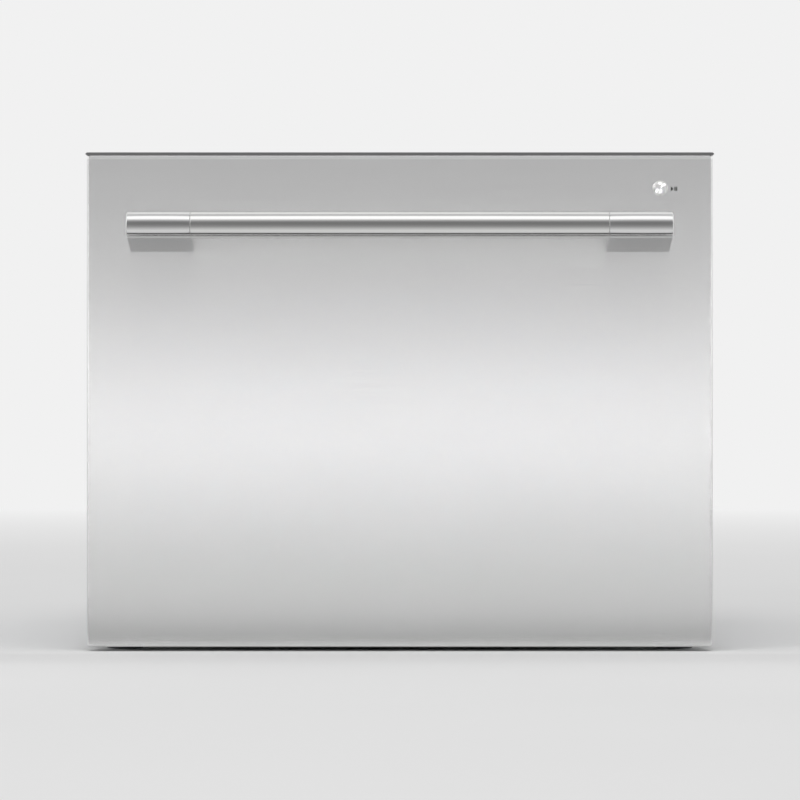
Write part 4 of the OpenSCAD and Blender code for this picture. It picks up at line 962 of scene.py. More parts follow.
def across(axis, p, s):
    """The place of a plane's point p at s on the axis across that plane."""
    return {"X": (s, p[0], p[1]), "Y": (p[0], s, p[1]), "Z": (p[0], p[1], s)}[axis]


def extruded(name, outline, axis, start, end, edge=0.0):
    """An outline drawn across an axis, between two places on it, its end edges rounded."""
    obj = lofted(name, [[across(axis, p, s) for p in outline] for s in (start, end)])
    return softened(obj, edge) if edge else smooth(obj, 32)


def groove(axis, face, depth, low, high):
    """A cutter for a long groove with round ends, pressed into a flat face from outside."""
    out = math.copysign(0.003, depth)
    width, height = high[0] - low[0], high[1] - low[1]
    middle = ((low[0] + high[0]) / 2, (low[1] + high[1]) / 2)
    outline = rounded(width, height, min(width, height) * 0.49, 6, middle)
    return lofted("groove", [[across(axis, p, s) for p in outline] for s in (face - depth, face + out)])


def swept(name, outline, profile, axis):
    """A seal: at each (inset, height) of the profile a ring of outline(inset) across the axis."""
    rings = [[across(axis, p, height) for p in outline(inset)] for inset, height in profile]
    return smooth(lofted(name, rings, closed=True), 40)


def hexagon(name, axis, rings):
    """A six-sided prism along an axis, from (radius, height) pairs."""
    turns = [math.radians(60 * i) for i in range(6)]
    return lofted(name, [[across(axis, (r * math.cos(a), r * math.sin(a)), h) for a in turns]
                         for r, h in rings])


# ---------- chassis ----------

SIDE_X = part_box("chassis_sides")[1].x
CHASSIS_LOW, CHASSIS_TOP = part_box("chassis_sides")[0].z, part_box("chassis_sides")[1].z
CHASSIS_FRONT, CHASSIS_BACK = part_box("chassis_sides")[0].y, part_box("chassis_sides")[1].y
SHEET = 0.0012
PRESS = 0.0006                              # depth of the grooves pressed into the sheets
BASE = CHASSIS_LOW + SHEET


def chassis():
    """The sheets, with grooves pressed into them from outside."""
    front, back = CHASSIS_FRONT + 0.05, CHASSIS_BACK - 0.05
    width = 0.014
    cuts = [groove("X", s * SIDE_X, s * PRESS, (front, z), (back, z + width))
            for s in (-1, 1) for z in (0.075, 0.110, 0.250, 0.300, 0.350, 0.400)]
    refined("chassis_sides", 0.0003, cuts=cuts)
    cuts = [groove("Z", CHASSIS_TOP, PRESS, (-0.25, y - 0.008), (0.25, y + 0.008))
            for y in (-0.18, -0.06, 0.02, 0.10, 0.22)]
    refined("chassis_top", 0.0003, cuts=cuts)
    cuts = [groove("Y", CHASSIS_BACK, PRESS, (-0.26, z), (0.26, z + width)) for z in (0.27, 0.32, 0.37, 0.42)]
    refined("chassis_back", 0.0003, cuts=cuts)
    cuts = [groove("Z", CHASSIS_LOW, -PRESS, (-0.24, y - 0.008), (0.24, y + 0.008))
            for y in (-0.12, 0.0, 0.12, 0.24)]
    refined("chassis_base", 0.0003, cuts=cuts)
    refined("opening_trim", 0.0005)


def levelling_feet():
    """A pad with a ribbed grip, a nut and a threaded stud, at the four corners."""
    foot_x, inset = 0.265, 0.030
    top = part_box("levelling_feet")[1].z
    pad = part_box("levelling_feet")[1].x - foot_x
    start, pitch, root, crest = 0.013, 0.00125, 0.0034, 0.0040
    thread = []
    for k in range(int((top - start) / pitch)):
        z = start + k * pitch
        thread += [(root, z), (crest, z + pitch / 2)]
    profile = ([(0.0, 0.0), (pad - 0.001, 0.0), (pad, 0.0008), (pad, 0.0042), (pad - 0.0008, 0.005),
                (pad - 0.004, 0.0054), (pad - 0.0048, 0.0078), (pad - 0.0056, 0.0082), (crest, 0.0084),
                (crest, start)] + thread + [(root, top - 0.0006), (0.0028, top), (0.0, top)])
    stud = lathe("stud", profile, (0, 0, 0), "Z", 32)
    nut = hexagon("nut", "Z", [(0.0069, 0.0078), (0.0075, 0.0084), (0.0075, 0.0125), (0.0069, 0.0131)])
    rib = brick((pad - 0.0062, -0.0008, 0.0052), (pad - 0.0038, 0.0008, 0.0076), 0.0003)
    grip = AROUND.run(path_object("grip", [(0.0, 0.0, 0.0)]), DARK, Part=rib, Count=16)
    bpy.data.objects.remove(rib)
    foot = joined("foot", [stud, smooth(nut, 30), grip])
    corners = [(s * foot_x, y, 0.0) for s in (-1, 1) for y in (CHASSIS_FRONT + inset, CHASSIS_BACK - inset)]
    fit(copies("levelling_feet_piece", foot, corners, DARK),
        DARK, "chassis", "dark_plastic", "levelling_feet")


def sheet_screws():
    """Hexagon screws with a washer face that hold the side sheets."""
    washer, shank = 0.00375, 0.0017
    head = lathe("head", [(0.0, 0.0018), (0.0018, 0.0018), (0.0022, 0.0015), (0.0022, 0.0007),
                          (washer, 0.0006), (washer, 0.0001), (shank, 0.0), (shank, -0.0011), (0.0, -0.0011)],
                 (0, 0, 0), "X", 24)
    flats = hexagon("hexagon", "X", [(0.0031, 0.0005), (0.0031, 0.0016), (0.0028, 0.0018)])
    screw = joined("screw", [head, smooth(flats, 25)])
    rows = [(y, z) for z in (CHASSIS_LOW + 0.008, CHASSIS_TOP - 0.006)
            for y in (CHASSIS_FRONT + 0.041, TUB_Y, CHASSIS_BACK - 0.040)]
    other = placed("screw_copy", screw.data.copy())
    right = copies("right", screw, [(SIDE_X, y, z) for y, z in rows], ZINC)
    left = copies("left", other, [(-SIDE_X, y, z) for y, z in rows], ZINC, (0.0, 0.0, math.pi))
    fit(joined("chassis_screws_piece", [right, left]), ZINC, "chassis", "zinc", "chassis_screws")


# ---------- runners ----------

RAIL_Z = 0.175
RAIL_WALL = 0.0015
RAIL_FRONT, RAIL_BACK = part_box("outer_runners")[0].y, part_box("outer_runners")[1].y


def channel(name, side, x_web, x_lip, half, back=0.0):
    """A rolled runner section, open towards the lips: x_web is the outer face of its web."""
    toward = 1 if x_lip > x_web else -1
    x = x_web + toward * RAIL_WALL / 2
    h = half - RAIL_WALL / 2
    line = bent([(x_lip, RAIL_Z + h), (x, RAIL_Z + h), (x, RAIL_Z - h), (x_lip, RAIL_Z - h)], 0.0026)
    outline = [(side * p[0], p[1]) for p in thick(line, RAIL_WALL)]
    return extruded(name, outline, "Y", RAIL_FRONT, RAIL_BACK - back)


def side_brick(s, low, high, edge):
    """A brick given on the right side, for that side (s is 1) or mirrored to the left (s is -1)."""
    a, b = s * low[0], s * high[0]
    return brick((min(a, b), low[1], low[2]), (max(a, b), high[1], high[2]), edge)


def ball_strips(s):
    """Balls between the sections, and their cages, in strips that stay covered."""
    size, pitch, count, length = 0.0014, 0.016, 12, 0.192
    ball = placed("ball", bpy.data.meshes.new("ball"))
    work = bmesh.new()
    bmesh.ops.create_uvsphere(work, u_segments=12, v_segments=8, radius=size)
    work.to_mesh(ball.data)
    work.free()
    outer_y, inner_y = RAIL_FRONT + 0.25, RAIL_FRONT + 0.015
    places = [(s * 0.2860, y0 + pitch * (k + 0.5), z) for y0, h in ((outer_y, 0.0191), (inner_y, 0.0152))
              for k in range(count) for z in (RAIL_Z - h, RAIL_Z + h)]
    balls = copies("balls", ball, places, ZINC)
    cages = [side_brick(s, (0.2848, y0, z - 0.0007), (0.2872, y0 + length, z + 0.0007), 0.0003)
             for y0, h in ((outer_y, 0.0189), (inner_y, 0.0154)) for z in (RAIL_Z - h, RAIL_Z + h)]
    return [balls] + cages


def runners():
    """Three sections on each side: the outer on the chassis, the inner on the drawer, the middle between."""
    outer, inner = [], []
    for side, s in (("left", -1), ("right", 1)):
        outer.append(channel("outer", s, 0.2938, 0.2838, 0.0225))
        for z in (RAIL_Z - 0.0195, RAIL_Z + 0.0195):
            outer.append(extruded("lip", rounded(0.0016, 0.0016, 0.0006, 3, (s * 0.2843, z)),
                                  "Y", RAIL_FRONT + 0.01, RAIL_BACK - 0.01))
        inner.append(channel("inner", s, 0.2811, 0.2870, 0.0133))
        plates = [(0.2811, 0.2826, PANEL, RAIL_FRONT + 0.002, 0.0133),
                  (0.2551, 0.2816, PANEL, PANEL + 0.0015, 0.020)]
        blocks = [(0.2780, 0.2813, y, y + 0.040, 0.0113) for y in (-0.174, 0.0, 0.174)]
        inner += [side_brick(s, (a, y0, RAIL_Z - h), (b, y1, RAIL_Z + h), 0.0005)
                  for a, b, y0, y1, h in plates + blocks]
        parts = ball_strips(s)
        mid = joined("runner_mid_" + side + "_piece", [channel("mid", s, 0.2897, 0.2823, 0.0179)] + parts)
        fit(mid, ZINC, "runner_mid_" + side, "zinc", "runner_mid_" + side)
    fit(joined("outer_runners_piece", outer), ZINC, "chassis", "zinc", "outer_runners")
    fit(joined("inner_runners_piece", inner), ZINC, "drawer", "zinc", "inner_runners")


# ---------- hoses and connections ----------

PAN_Y, PAN_Z = 0.287, 0.070
INLET_X, DRAIN_X, POWER_X = 0.133, 0.185, 0.237


def supply_hoses():
    """The ribbed drain hose and the smooth fill hose, from the recess over the base to the guide."""
    drain_d, drain_y, drain_x, drain_z = 0.015, 0.270, -0.152, BASE + 0.011
    fill_d, fill_y, fill_x, fill_z = 0.010, 0.268, -0.168, BASE + 0.007
    end_x, over = -0.134, BASE + 0.026
    drain = [(DRAIN_X, PAN_Y, PAN_Z), (DRAIN_X, drain_y, PAN_Z), (DRAIN_X, drain_y, drain_z),
             (drain_x, drain_y, drain_z), (drain_x, -0.018, drain_z), (end_x, -0.018, drain_z)]
    fill = [(INLET_X, PAN_Y, PAN_Z), (INLET_X, fill_y, PAN_Z), (INLET_X, fill_y, over),
            (fill_x, fill_y, over), (fill_x, fill_y, fill_z), (fill_x, -0.036, fill_z),
            (end_x, -0.036, fill_z)]
    ribbed = HOSE.run(path_object("drain_hose", drain), RUBBER,
                      Diameter=drain_d, Bend=drain_d * 0.75, Pitch=0.004, Ribs=0.07)
    plain = HOSE.run(path_object("fill_hose", fill), RUBBER,
                     Diameter=fill_d, Bend=fill_d * 0.75, Pitch=0.018, Ribs=0.0)
    fit(smooth(joined("supply_hoses_piece", [ribbed, plain]), 60),
        RUBBER, "chassis", "rubber", "supply_hoses")


def on_pan(obj, x):
    """Turns a piece to face out of the recess at the back, and sets it there at x."""
    obj.data.transform(Matrix.Translation((x, PAN_Y + SHEET, PAN_Z)) @ Matrix.Rotation(math.pi, 4, "X"))
    return outward(obj)


def connections():
    """The water inlet with its thread and strainer, the drain spigot and the mains inlet."""
    front = PAN_Y + SHEET
    root, crest, pitch, bore = 0.0124, 0.0132, 0.0023, 0.0097
    turns = []
    for k in range(7):
        turns += [(root, 0.0105 + k * pitch), (crest, 0.0116 + k * pitch)]
    thread = lathe("thread", [(0.0, 0.006), (root, 0.006), (root, 0.0100)] + turns
                   + [(root, 0.0265), (0.0120, 0.0270), (0.0100, 0.0270), (bore, 0.0266), (bore, 0.013),
                      (0.0, 0.013)], (0, 0, 0), "Y", 48)
    half = 0.021
    body = brick((INLET_X - half, front, PAN_Z - half), (INLET_X + half, front + 0.0071, PAN_Z + half), 0.002)
    strainer = lathe("strainer", [(0.0, 0.0165), (0.004, 0.0160), (0.0090, 0.0145), (0.0090, 0.0125),
                                  (0.0, 0.0125)], (0, 0, 0), "Y", 32)
    fit(joined("inlet_valve_piece", [on_pan(thread, INLET_X), body]),
        LIGHT, "chassis", "light_plastic", "inlet_valve")
    fit(on_pan(strainer, INLET_X), BLUE, "chassis", "blue_plastic")
    bore = 0.0075
    barbs = [(0.0095, 0.0040)]
    for k in range(4):
        barbs += [(0.0100, 0.0100 + k * 0.0045), (0.0091, 0.0138 + k * 0.0045)]
    spigot = lathe("drain_spigot_piece", [(bore, 0.0031), (0.0180, 0.0), (0.0180, 0.0034), (0.0174, 0.0040)]
                   + barbs + [(0.0089, 0.0262), (0.0083, 0.0270), (0.0078, 0.0270), (bore, 0.0266)],
                   (0, 0, 0), "Y", 48, True)
    fit(on_pan(spigot, DRAIN_X), BLACK, "chassis", "black_plastic", "drain_spigot")
    refined("power_inlet", 0.0006)
    wide, high = 0.0011, 0.0026
    pins = [brick((x - wide, front + 0.006, PAN_Z - high), (x + wide, front + 0.0192, PAN_Z + high), 0.0005)
            for x in (POWER_X - 0.007, POWER_X, POWER_X + 0.007)]
    fit(joined("contact_pins", pins), ZINC, "chassis", "zinc")


# ---------- tub ----------

def sided(w, d, r, corner=8, side=10):
    """A rounded rectangle with points along its sides too."""
    line = rounded(w, d, r, corner)
    loop = []
    for i, p in enumerate(line):
        q = line[(i + 1) % len(line)]
        count = side if i % (corner + 1) == corner else 1
        loop += [(p[0] + (q[0] - p[0]) * k / count, p[1] + (q[1] - p[1]) * k / count) for k in range(count)]
    return loop


def tub():
    """One moulded skin: from the sump's hole over the floor, up the walls, round the rim and back inside."""
    foot, fillet, hole = 0.010, 0.016, 0.0881
    low, floor, rim = TUB[0].z, TUB_FLOOR, TUB[1].z
    wall_x, wall_y, r_in = TUB_X - 0.003, TUB_HALF - 0.003, 0.042
    flange_x, flange_y = TUB[1].x, TUB[1].y - TUB_Y

    def ring(x, y, r, z):
        return [(p[0], p[1] + TUB_Y, z) for p in sided(2 * x, 2 * y, r)]

    def bore(z):
        turns = [math.atan2(p[1], p[0]) for p in sided(2 * (TUB_X - foot), 2 * (TUB_HALF - foot), 0.035)]
        return [(hole * math.cos(a), TUB_Y + hole * math.sin(a), z) for a in turns]

    def outer(inset, z):
        return ring(TUB_X - inset, TUB_HALF - inset, 0.045 - inset, z)

    def inner(inset, z):
        return ring(wall_x - inset, wall_y - inset, r_in - inset, z)

    def flange(inset, z):
        return ring(flange_x - inset, flange_y - inset, 0.012 - inset, z)

    rings = [bore(low), outer(foot, low)]
    rings += [outer(foot * (1 - math.sin(a)), low + foot * (1 - math.cos(a)))
              for a in (0.39, 0.79, 1.18, 1.57)]
    rings += [outer(0.0, rim - 0.0045), outer(-0.0015, rim - 0.003), flange(0.0006, rim - 0.003),
              flange(0.0, rim - 0.0024), flange(0.0, rim - 0.0008), flange(0.0007, rim),
              inner(-0.0020, rim), inner(-0.0006, rim - 0.0006), inner(0.0, rim - 0.002)]
    rings += [inner(fillet * (1 - math.cos(a)), floor + fillet * (1 - math.sin(a)))
              for a in (0, 0.26, 0.52, 0.79, 1.05, 1.31, 1.57)]
    rings.append(bore(floor))
    skin = smooth(lofted("skin", rings, closed=True), 40)
    ledges = []
    ledge_top = floor + 0.037
    for sx, sy in ((1, 1), (-1, 1), (-1, -1), (1, -1)):
        rows = []
        for inset, z in ((0.0, floor - 0.001), (0.0, ledge_top - 0.004), (0.0005, ledge_top - 0.002),
                         (0.0018, ledge_top - 0.0005), (0.004, ledge_top)):
            reach, r = 0.050 - inset, 0.014
            line = ([(0.0004, -reach)] + [(0.0004, -0.042)] + arc((-0.042, -0.042), 0.0424, 0, 90, 8)
                    + [(-reach, 0.0004)] + arc((-reach + r, -reach + r), r, 180, 270, 6))
            rows.append([(sx * (wall_x + p[0]), TUB_Y + sy * (wall_y + p[1]), z) for p in line])
        ledges.append(smooth(lofted("ledge", rows), 40))
    fit(joined("tub_piece", [skin] + ledges), LIGHT, "drawer", "light_plastic", "tub")


def seal_outline(width, depth, r, corner, middle):
    """The outline of a seal, as a function of the inset from its outer edge."""
    def line(inset):
        loop = sided(width - 2 * inset, depth - 2 * inset, max(0.0015, r - inset), corner, 4)
        return [(p[0], p[1] + middle) for p in loop]
    return line


def seals():
    """The soft seals: the front's against the chassis, and the lid's on the tub."""
    low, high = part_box("front_gasket")
    line = seal_outline(high.x - low.x, high.z - low.z, 0.006, 6, (low.z + high.z) / 2)
    w, d = high.y - low.y, 0.0045
    bulb = [(0.0003, low.y), (0.0, low.y + 0.0004), (0.0002, low.y + 0.5 * w), (0.0012, low.y + 0.85 * w),
            (d / 2, low.y + w), (d - 0.0012, low.y + 0.85 * w), (d - 0.0002, low.y + 0.5 * w),
            (d, low.y + 0.0004), (d - 0.0003, low.y)]
    fit(swept("front_gasket_piece", line, bulb, "Y"), RUBBER, "drawer", "rubber", "front_gasket")

    low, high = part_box("lid_seal")
    line = seal_outline(high.x - low.x, high.y - low.y, 0.0395, 8, (low.y + high.y) / 2)
    t = high.z - low.z
    lip = [(0.0005, high.z), (0.0002, high.z - 0.3 * t), (0.0016, high.z - 0.5 * t),
           (0.0008, high.z - 0.75 * t), (0.0022, low.z + 0.0003), (0.0035, low.z), (0.0048, low.z + 0.0003),
           (0.0062, high.z - 0.75 * t), (0.0054, high.z - 0.5 * t), (0.0068, high.z - 0.3 * t),
           (0.0065, high.z)]
    fit(swept("lid_seal_piece", line, lip, "Z"), RUBBER, "lid", "rubber", "lid_seal")


# ---------- wash system ----------

SPRAY_LOW, SPRAY_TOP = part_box("spray_arm")[0].z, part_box("spray_arm")[1].z
MIDDLE = (0.0, TUB_Y, 0.0)                  # the tub's axis, on which pump and spray arm turn


def spray_arm():
    """Two hollow arms that taper from the hub to round tips, with a ridge and a row of jets."""
    tip, end, tip_r, root_half = 0.217, 0.230, 0.013, 0.027
    low, top = SPRAY_LOW + 0.002, SPRAY_TOP - 0.003
    mid = (low + top) / 2
    rounding = [tip_r * (1 - math.sin(a)) for a in (1.57, 1.35, 1.05, 0.7, 0.35)]
    rings = []
    for x in ([-end + r for r in rounding] + [-tip + 2 * tip * k / 24 for k in range(25)]
              + [end - r for r in rounding[::-1]]):
        far = abs(x)
        half = root_half - (root_half - tip_r) * min(far, tip) / tip
        if far > tip:
            half = max(0.0015, math.sqrt(max(0.0, tip_r ** 2 - (far - tip) ** 2)))
        h = (top - low) / 2 * (0.35 + 0.65 * min(1.0, half / tip_r))
        section = []
        for k in range(28):
            a = 2 * math.pi * k / 28
            c, s = math.cos(a), math.sin(a)
            y = half * math.copysign(abs(c) ** 0.7, c)
            z = h * math.copysign(abs(s) ** 0.55, s)
            if s > 0.9:
                z += 0.0004
            section.append((x, TUB_Y + y, min(top, mid + z)))
        rings.append(section)
    arms = smooth(lofted("arms", rings), 50)
    bore, r = 0.00806, 0.023
    hub = lathe("hub", [(0.0, top), (bore, top), (bore, SPRAY_LOW), (r - 0.002, SPRAY_LOW),
                        (r - 0.0004, SPRAY_LOW + 0.001), (r, SPRAY_LOW + 0.003), (r, SPRAY_TOP - 0.004),
                        (r - 0.0008, SPRAY_TOP - 0.0018), (r - 0.0035, SPRAY_TOP - 0.0005),
                        (r - 0.008, SPRAY_TOP), (0.0, SPRAY_TOP)], MIDDLE, "Z", 64)
    jet = lathe("jet", [(0.0, -0.0012), (0.0014, -0.0012), (0.0015, 0.0004), (0.0020, 0.0006),
                        (0.0030, 0.0004), (0.0034, -0.0004), (0.0034, -0.002), (0.0, -0.002)],
                (0, 0, 0), "Z", 16)
    places = [(s * (0.054 + k * 0.04075), TUB_Y + s * ((k % 2) * 0.008 - 0.004), top)
              for s in (-1, 1) for k in range(5)]
    jets = copies("jets", jet, places, SPRAY)
    fit(joined("spray_arm_piece", [arms, hub, jets]), SPRAY, "spray_arm", "spray_plastic", "spray_arm")


def filter_plate():
    """The perforated plate over the sump, with holes for the riser and the drain filter; the real one sinks a
    little towards the filter, this one is flat.
    """
    low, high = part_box("filter_plate")
    small, spray_r, filter_r, filter_x = 0.0013, 0.0301, 0.0201, 0.062
    holes, sizes = [], []
    for k in range(9):
        r = 0.0385 + k * 0.005
        count = int(2 * math.pi * r / 0.0052)
        for i in range(count):
            a = 2 * math.pi * (i + 0.5 * (k % 2)) / count
            x, y = r * math.cos(a), r * math.sin(a)
            if math.hypot(x - filter_x, y) > 0.0255:
                holes.append((x, y + TUB_Y, 0.0))
                sizes.append(small)
    holes += [(0.0, TUB_Y, 0.0), (filter_x, TUB_Y, 0.0)]
    sizes += [spray_r, filter_r]
    grid = path_object("filter_plate_piece", *[[p] for p in holes])
    grid.data.attributes.new("hole_radius", "FLOAT", "POINT").data.foreach_set("value", sizes)
    plate = SIEVE.run(grid, TUB_STEEL, Radius=(high.x - low.x) / 2, Centre=MIDDLE, Thickness=high.z - low.z)
    plate.data.transform(Matrix.Translation((0, 0, low.z)))
    fit(smooth(plate, 30), TUB_STEEL, "drawer", "stainless", "filter_plate")


def wash_rotor():
    """The pump's rotor under the riser, with curved blades and the magnet that drives it."""
    low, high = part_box("wash_rotor")
    r, disc, shaft_r = 0.035, 0.096, 0.0030
    shaft = lathe("shaft", [(0.0, low.z), (shaft_r - 0.0003, low.z), (shaft_r, low.z + 0.0003),
                            (shaft_r, disc + 0.001), (0.0, disc + 0.001)], MIDDLE, "Z", 32)
    body = lathe("body", [(0.0, disc), (r - 0.0005, disc), (r, disc + 0.0005), (r, disc + 0.0016),
                          (r - 0.0006, disc + 0.002), (0.0095, disc + 0.0028), (0.0080, disc + 0.0045),
                          (0.0072, high.z - 0.0012), (0.0060, high.z - 0.0003), (0.0045, high.z),
                          (0.0, high.z)], MIDDLE, "Z", 64)
    magnet_r, magnet_in = 0.0440, 0.0380
    magnet = lathe("magnet", [(0.0, 0.0680), (magnet_r - 0.0007, 0.0680), (magnet_r, 0.0687),
                              (magnet_r, 0.0832), (magnet_r - 0.0007, 0.0840), (magnet_in + 0.0002, 0.0840),
                              (magnet_in, 0.0838), (magnet_in, 0.0712), (0.0, 0.0710)], MIDDLE, "Z", 64)
    part = blade(0.0075, r - 0.0008, disc + 0.0012, high.z - 0.0003, 0.0012, 0.9)
    blades = around("rotor_blades", part, 8, LIGHT, MIDDLE)
    fit(joined("wash_rotor_piece", [shaft, body, magnet, blades]),
        LIGHT, "wash_rotor", "light_plastic", "wash_rotor")


def fan_wheel():
    """The drying fan's wheel, its blades between a disc and a band."""
    low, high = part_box("fan_wheel")
    centre = ((low.x + high.x) / 2, (low.y + high.y) / 2, 0.0)
    bore, r, band_r = 0.00306, 0.040, 0.0394
    hub = lathe("hub", [(bore, low.z), (r - 0.0005, low.z), (r, low.z + 0.0004), (r, low.z + 0.0016),
                        (band_r, low.z + 0.002), (0.0105, low.z + 0.0026), (0.0090, low.z + 0.005),
                        (0.0088, high.z - 0.001), (0.0080, high.z), (bore, high.z)], centre, "Z", 64, True)
    band = lathe("band", [(0.0372, high.z - 0.003), (band_r, high.z - 0.003), (band_r, high.z - 0.0003),
                          (0.0372, high.z - 0.0003)], centre, "Z", 64, True)
    part = blade(0.0262, 0.0392, low.z + 0.0014, high.z - 0.0006, 0.0011, 0.5)
    vanes = around("fan_blades", part, 28, LIGHT, centre)
    fit(joined("fan_wheel_piece", [hub, band, vanes]), LIGHT, "fan_wheel", "light_plastic", "fan_wheel")


def blade(r0, r1, z0, z1, t, sweep):
    """A curved blade standing between two radii about the Z axis."""
    line = []
    for k in range(8):
        r, a = r0 + (r1 - r0) * k / 7, sweep * k / 7
        line.append((r * math.cos(a), r * math.sin(a)))
    return extruded("blade", thick(line, t), "Z", z0, z1)


def around(name, part, count, finish, centre):
    """One piece of many copies of a part round an upright axis."""
    obj = AROUND.run(path_object(name, [(0.0, 0.0, 0.0)]), finish, Part=part, Count=count, Centre=centre)
    bpy.data.objects.remove(part)
    return smooth(obj, 40)


def stator():
    """Twelve coils of copper wire on a core."""
    low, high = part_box("motor_stator")
    r_out = (high.x - low.x) / 2
    r_in, z0, z1 = r_out - 0.005, low.z + 0.003, high.z - 0.003
    core = lathe("core", [(r_in, z0), (r_out, z0), (r_out, z1), (r_in, z1)], MIDDLE, "Z", 72, True)
    half = 0.0085
    coil = brick((r_out - 0.0125, -half, low.z + 0.0006), (r_out - 0.0045, half, high.z - 0.0006), 0.0032)
    coils = around("coils", coil, 12, COPPER, MIDDLE)
    fit(joined("motor_stator_piece", [core, coils]), COPPER, "drawer", "copper_winding", "motor_stator")


# ---------- rack ----------

RACK_X, RACK_Y = 0.268, 0.234
SPAN_X, SPAN_Y = 0.228, 0.194
WIRES_X, WIRES_Y = 7, 6
STEP_X, STEP_Y = SPAN_X / WIRES_X, SPAN_Y / WIRES_Y
FLOOR_Z, CROSS_Z = 0.152, 0.1552
RAIL_MID, RAIL_RIM = 0.242, 0.3295
TINE_Z = 0.1605
SHELF_Z, SHELF_X = 0.305, 0.262


def rack_ring(z, diameter):
    line = [(p[0], p[1] + TUB_Y, z) for p in rounded(2 * RACK_X, 2 * RACK_Y, 0.040, 10)]
    return LOOPS.run(path_object("ring", line, closed=True), WIRE, Diameter=diameter, Sides=12)


def rack():
    """Coated wires: half of them run down a wall, across the floor and up again."""
    lines = []
    front, back = TUB_Y - RACK_Y, TUB_Y + RACK_Y
    for i in range(-WIRES_X, WIRES_X + 1):
        x = i * STEP_X
        if (i - WIRES_X) % 2:
            lines.append([(x, front, RAIL_RIM), (x, front, CROSS_Z), (x, back, CROSS_Z), (x, back, RAIL_RIM)])
        else:
            lines.append([(x, front - 0.001, CROSS_Z), (x, back + 0.001, CROSS_Z)])
    for j in range(-WIRES_Y, WIRES_Y + 1):
        y = TUB_Y + j * STEP_Y
        line = [(-RACK_X, y, FLOOR_Z), (RACK_X, y, FLOOR_Z)]
        if (j - WIRES_Y) % 2:
            line = [(-RACK_X, y, RAIL_RIM)] + line + [(RACK_X, y, RAIL_RIM)]
        lines.append(line)
    floor = wires("wires", lines, 0.0032, 10)
    rings = [rack_ring(FLOOR_Z, WIRE_D), rack_ring(RAIL_MID, WIRE_D), rack_ring(RAIL_RIM, 0.005)]
    whole = smooth(joined("rack_piece", [floor] + rings), 40)
    fit(whole, WIRE, "drawer", "rack_coating", "rack_floor", "rack_sides", "rack_ends", "rack_corners")
    refined("rack_clips", 0.0007)


def tine_rows():
    """Two rows of tines on axles, a bead at the foot of each tine."""
    tine = [(0.0, -0.0005), (0.0016, 0.0), (0.0016, 0.0880), (0.00145, 0.0890), (0.0010, 0.0898),
            (0.0, 0.0900)]
    bead = [(0.0017, -0.0030), (0.0027, -0.0030), (0.0027, 0.0030), (0.0017, 0.0030)]
    count, over = 11, 0.005
    start = -6.5 * STEP_X
    end = start + (count - 1) * STEP_X
    for name, y in (("tine_row_front", -0.040), ("tine_row_back", 0.080)):
        places = [(start + k * STEP_X, y, TINE_Z) for k in range(count)]
        axle = wires("axle", [[(start - over, y, TINE_Z), (end + over, y, TINE_Z)]], 0.001, 16)
        pins = copies("pins", lathe("pin", tine, (0, 0, 0), "Z", 12), places, WIRE)
        beads = copies("beads", lathe("bead", bead, (0, 0, 0), "X", 14, True), places, WIRE)
        fit(smooth(joined(name + "_piece", [axle, pins, beads]), 40), WIRE, name, "rack_coating", name)


def cup_racks():
    """Folding shelves: a hinge wire, a bent frame, and the slats and bars that fill it."""
    half, out, bar_d = 0.1455, 0.110, 0.0032
    low, high = TUB_Y - half, TUB_Y + half
    near, far = low + WIRE_D, high - WIRE_D
    for name, s in (("cup_rack_left", -1), ("cup_rack_right", 1)):
        hinge, tip = s * SHELF_X, s * (SHELF_X - out)
        axle = wires("axle", [[(hinge, low, SHELF_Z), (hinge, high, SHELF_Z)]], 0.001, 16)
        edge = wires("edge", [[(hinge, near, SHELF_Z), (tip, near, SHELF_Z),
                               (tip, far, SHELF_Z), (hinge, far, SHELF_Z)]], 0.012, 12)
        slats = [[(s * (SHELF_X - k * out / 3), y, SHELF_Z) for y in (near, far)] for k in (1, 2)]
        bars = [[(s * x, TUB_Y + (k - 3.5) * STEP_Y, SHELF_Z - 0.0004)
                 for x in (SHELF_X + 0.0006, SHELF_X - out - 0.0006)] for k in range(8)]
        long = wires("slats", slats, 0.001, 10)
        short = wires("bars", bars, 0.001, 10, bar_d)
        fit(smooth(joined(name + "_piece", [axle, edge, long, short]), 40), WIRE, name, "rack_coating", name)


def lattice(name, xs, ys, zs, filled):
    """One closed skin round the filled cells of a grid. filled(i, j, k) tells whether a cell is solid."""
    sizes = (len(xs), len(ys), len(zs))
    places, faces = {}, []

    def solid(cell):
        inside = all(0 <= c < n - 1 for c, n in zip(cell, sizes))
        return inside and filled(*cell)

    cells = [(i, j, k) for i in range(sizes[0] - 1) for j in range(sizes[1] - 1) for k in range(sizes[2] - 1)]
    for cell in filter(solid, cells):
        for axis, step in [(axis, step) for axis in range(3) for step in (0, 1)]:
            if solid([c + (2 * step - 1) * (n == axis) for n, c in enumerate(cell)]):
                continue
            u, v = [n for n in range(3) if n != axis]
            face = []
            for a, b in ((0, 0), (1, 0), (1, 1), (0, 1)):
                corner = list(cell)
                corner[axis] += step
                corner[u] += a
                corner[v] += b
                face.append(places.setdefault(tuple(corner), len(places)))
            faces.append(face)
    return outward(made(name, [(xs[i], ys[j], zs[k]) for i, j, k in places], faces))


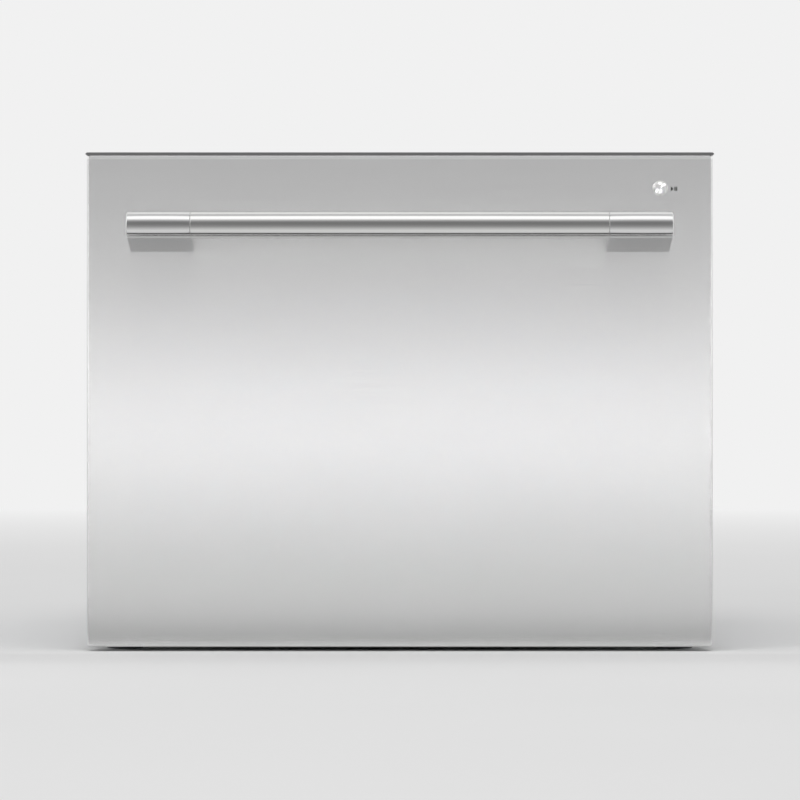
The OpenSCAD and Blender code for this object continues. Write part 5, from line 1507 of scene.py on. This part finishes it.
def cutlery_basket():
    """Four cells between cross walls; the long walls are pierced by rows of slots."""
    low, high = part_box("cutlery_basket")
    cells, wall, post = 4, 0.0025, 0.006
    pitch = (high.y - low.y - wall) / cells
    xs = [low.x, low.x + wall, high.x - wall, high.x]
    ys = [low.y, low.y + wall]
    for i in range(cells):
        y = low.y + wall + i * pitch
        ys += [y + post, y + pitch - wall - post, y + pitch - wall, y + pitch]
    slots = [low.z + h for h in (0.014, 0.028, 0.036, 0.050, 0.058, 0.072, 0.080, 0.094)]
    zs = [low.z, low.z + wall] + slots + [high.z]

    def filled(i, j, k):
        cross_wall = j % 4 == 0
        slot = j % 4 == 2 and k in (2, 4, 6, 8)
        return k == 0 or cross_wall or (i != 1 and not slot)

    basket = softened(lattice("cutlery_basket_piece", xs, ys, zs, filled), 0.0005)
    fit(basket, BASKET, "drawer", "basket_plastic", "cutlery_basket")


# ---------- dispenser and small parts ----------

def dispenser():
    """The detergent tray with its flap, and the rinse aid cap with its grip."""
    refined("dispenser_body", 0.0008)
    refined("dispenser_lid", 0.0005)
    low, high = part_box("rinse_cap")
    x, z = (low.x + high.x) / 2, (low.z + high.z) / 2
    disc = high.y - 0.008
    r = (high.x - low.x) / 2
    cap = lathe("cap", [(0.0, 0.007), (0.004, 0.007), (0.004, 0.0), (r - 0.0004, 0.0), (r, -0.0004),
                        (r, -0.0022), (r - 0.0008, -0.003), (r - 0.003, -0.0030), (r - 0.0036, -0.0026),
                        (0.0, -0.0024)],
                (x, 0, z), "Y", 64)
    cap.data.transform(Matrix.Translation((0, disc, 0)) @ Matrix.Scale(-1, 4, (0, 1, 0)))
    grip = brick((low.x + 0.003, disc + 0.0022, z - 0.0025), (high.x - 0.003, high.y, z + 0.0025), 0.0012)
    fit(joined("rinse_cap_piece", [outward(cap), grip]), BLUE, "rinse_cap", "blue_plastic", "rinse_cap")


def module_plugs():
    """The plugs in the control module's front."""
    low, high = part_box("control_module")
    x0, half = (low.x + high.x) / 2, 0.006
    y, z = (low.y + 0.001, low.y + 0.0085), (low.z + 0.009, low.z + 0.019)
    parts = [brick((x0 + x - half, y[0], z[0]), (x0 + x + half, y[1], z[1]), 0.0006)
             for x in (-0.036, -0.018, 0.0, 0.018, 0.036)]
    fit(joined("module_plugs", parts), LIGHT, "drawer", "light_plastic")


chassis()
levelling_feet()
sheet_screws()
runners()
supply_hoses()
connections()
tub()
seals()
spray_arm()
filter_plate()
wash_rotor()
fan_wheel()
stator()
rack()
tine_rows()
cup_racks()
cutlery_basket()
dispenser()
module_plugs()
for node, width in [("link_anchor", 0.0005), ("link_lower", 0.0007), ("link_upper", 0.0007),
                    ("link_tub_bracket", 0.0006), ("flood_sensor", 0.0005), ("lid_actuators", 0.0008),
                    ("lid_carriers", 0.0006), ("lid_panel", 0.0010), ("sump", 0.0006),
                    ("heater_ring", 0.0003), ("motor_housing", 0.0007), ("drain_filter", 0.0004),
                    ("spray_riser", 0.0005), ("control_module", 0.0010), ("drying_fan_housing", 0.0008),
                    ("drawer_screws", 0.0003)]:
    refined(node, width)


def corners(box):
    return [[float(c) for c in corner] for corner in box]
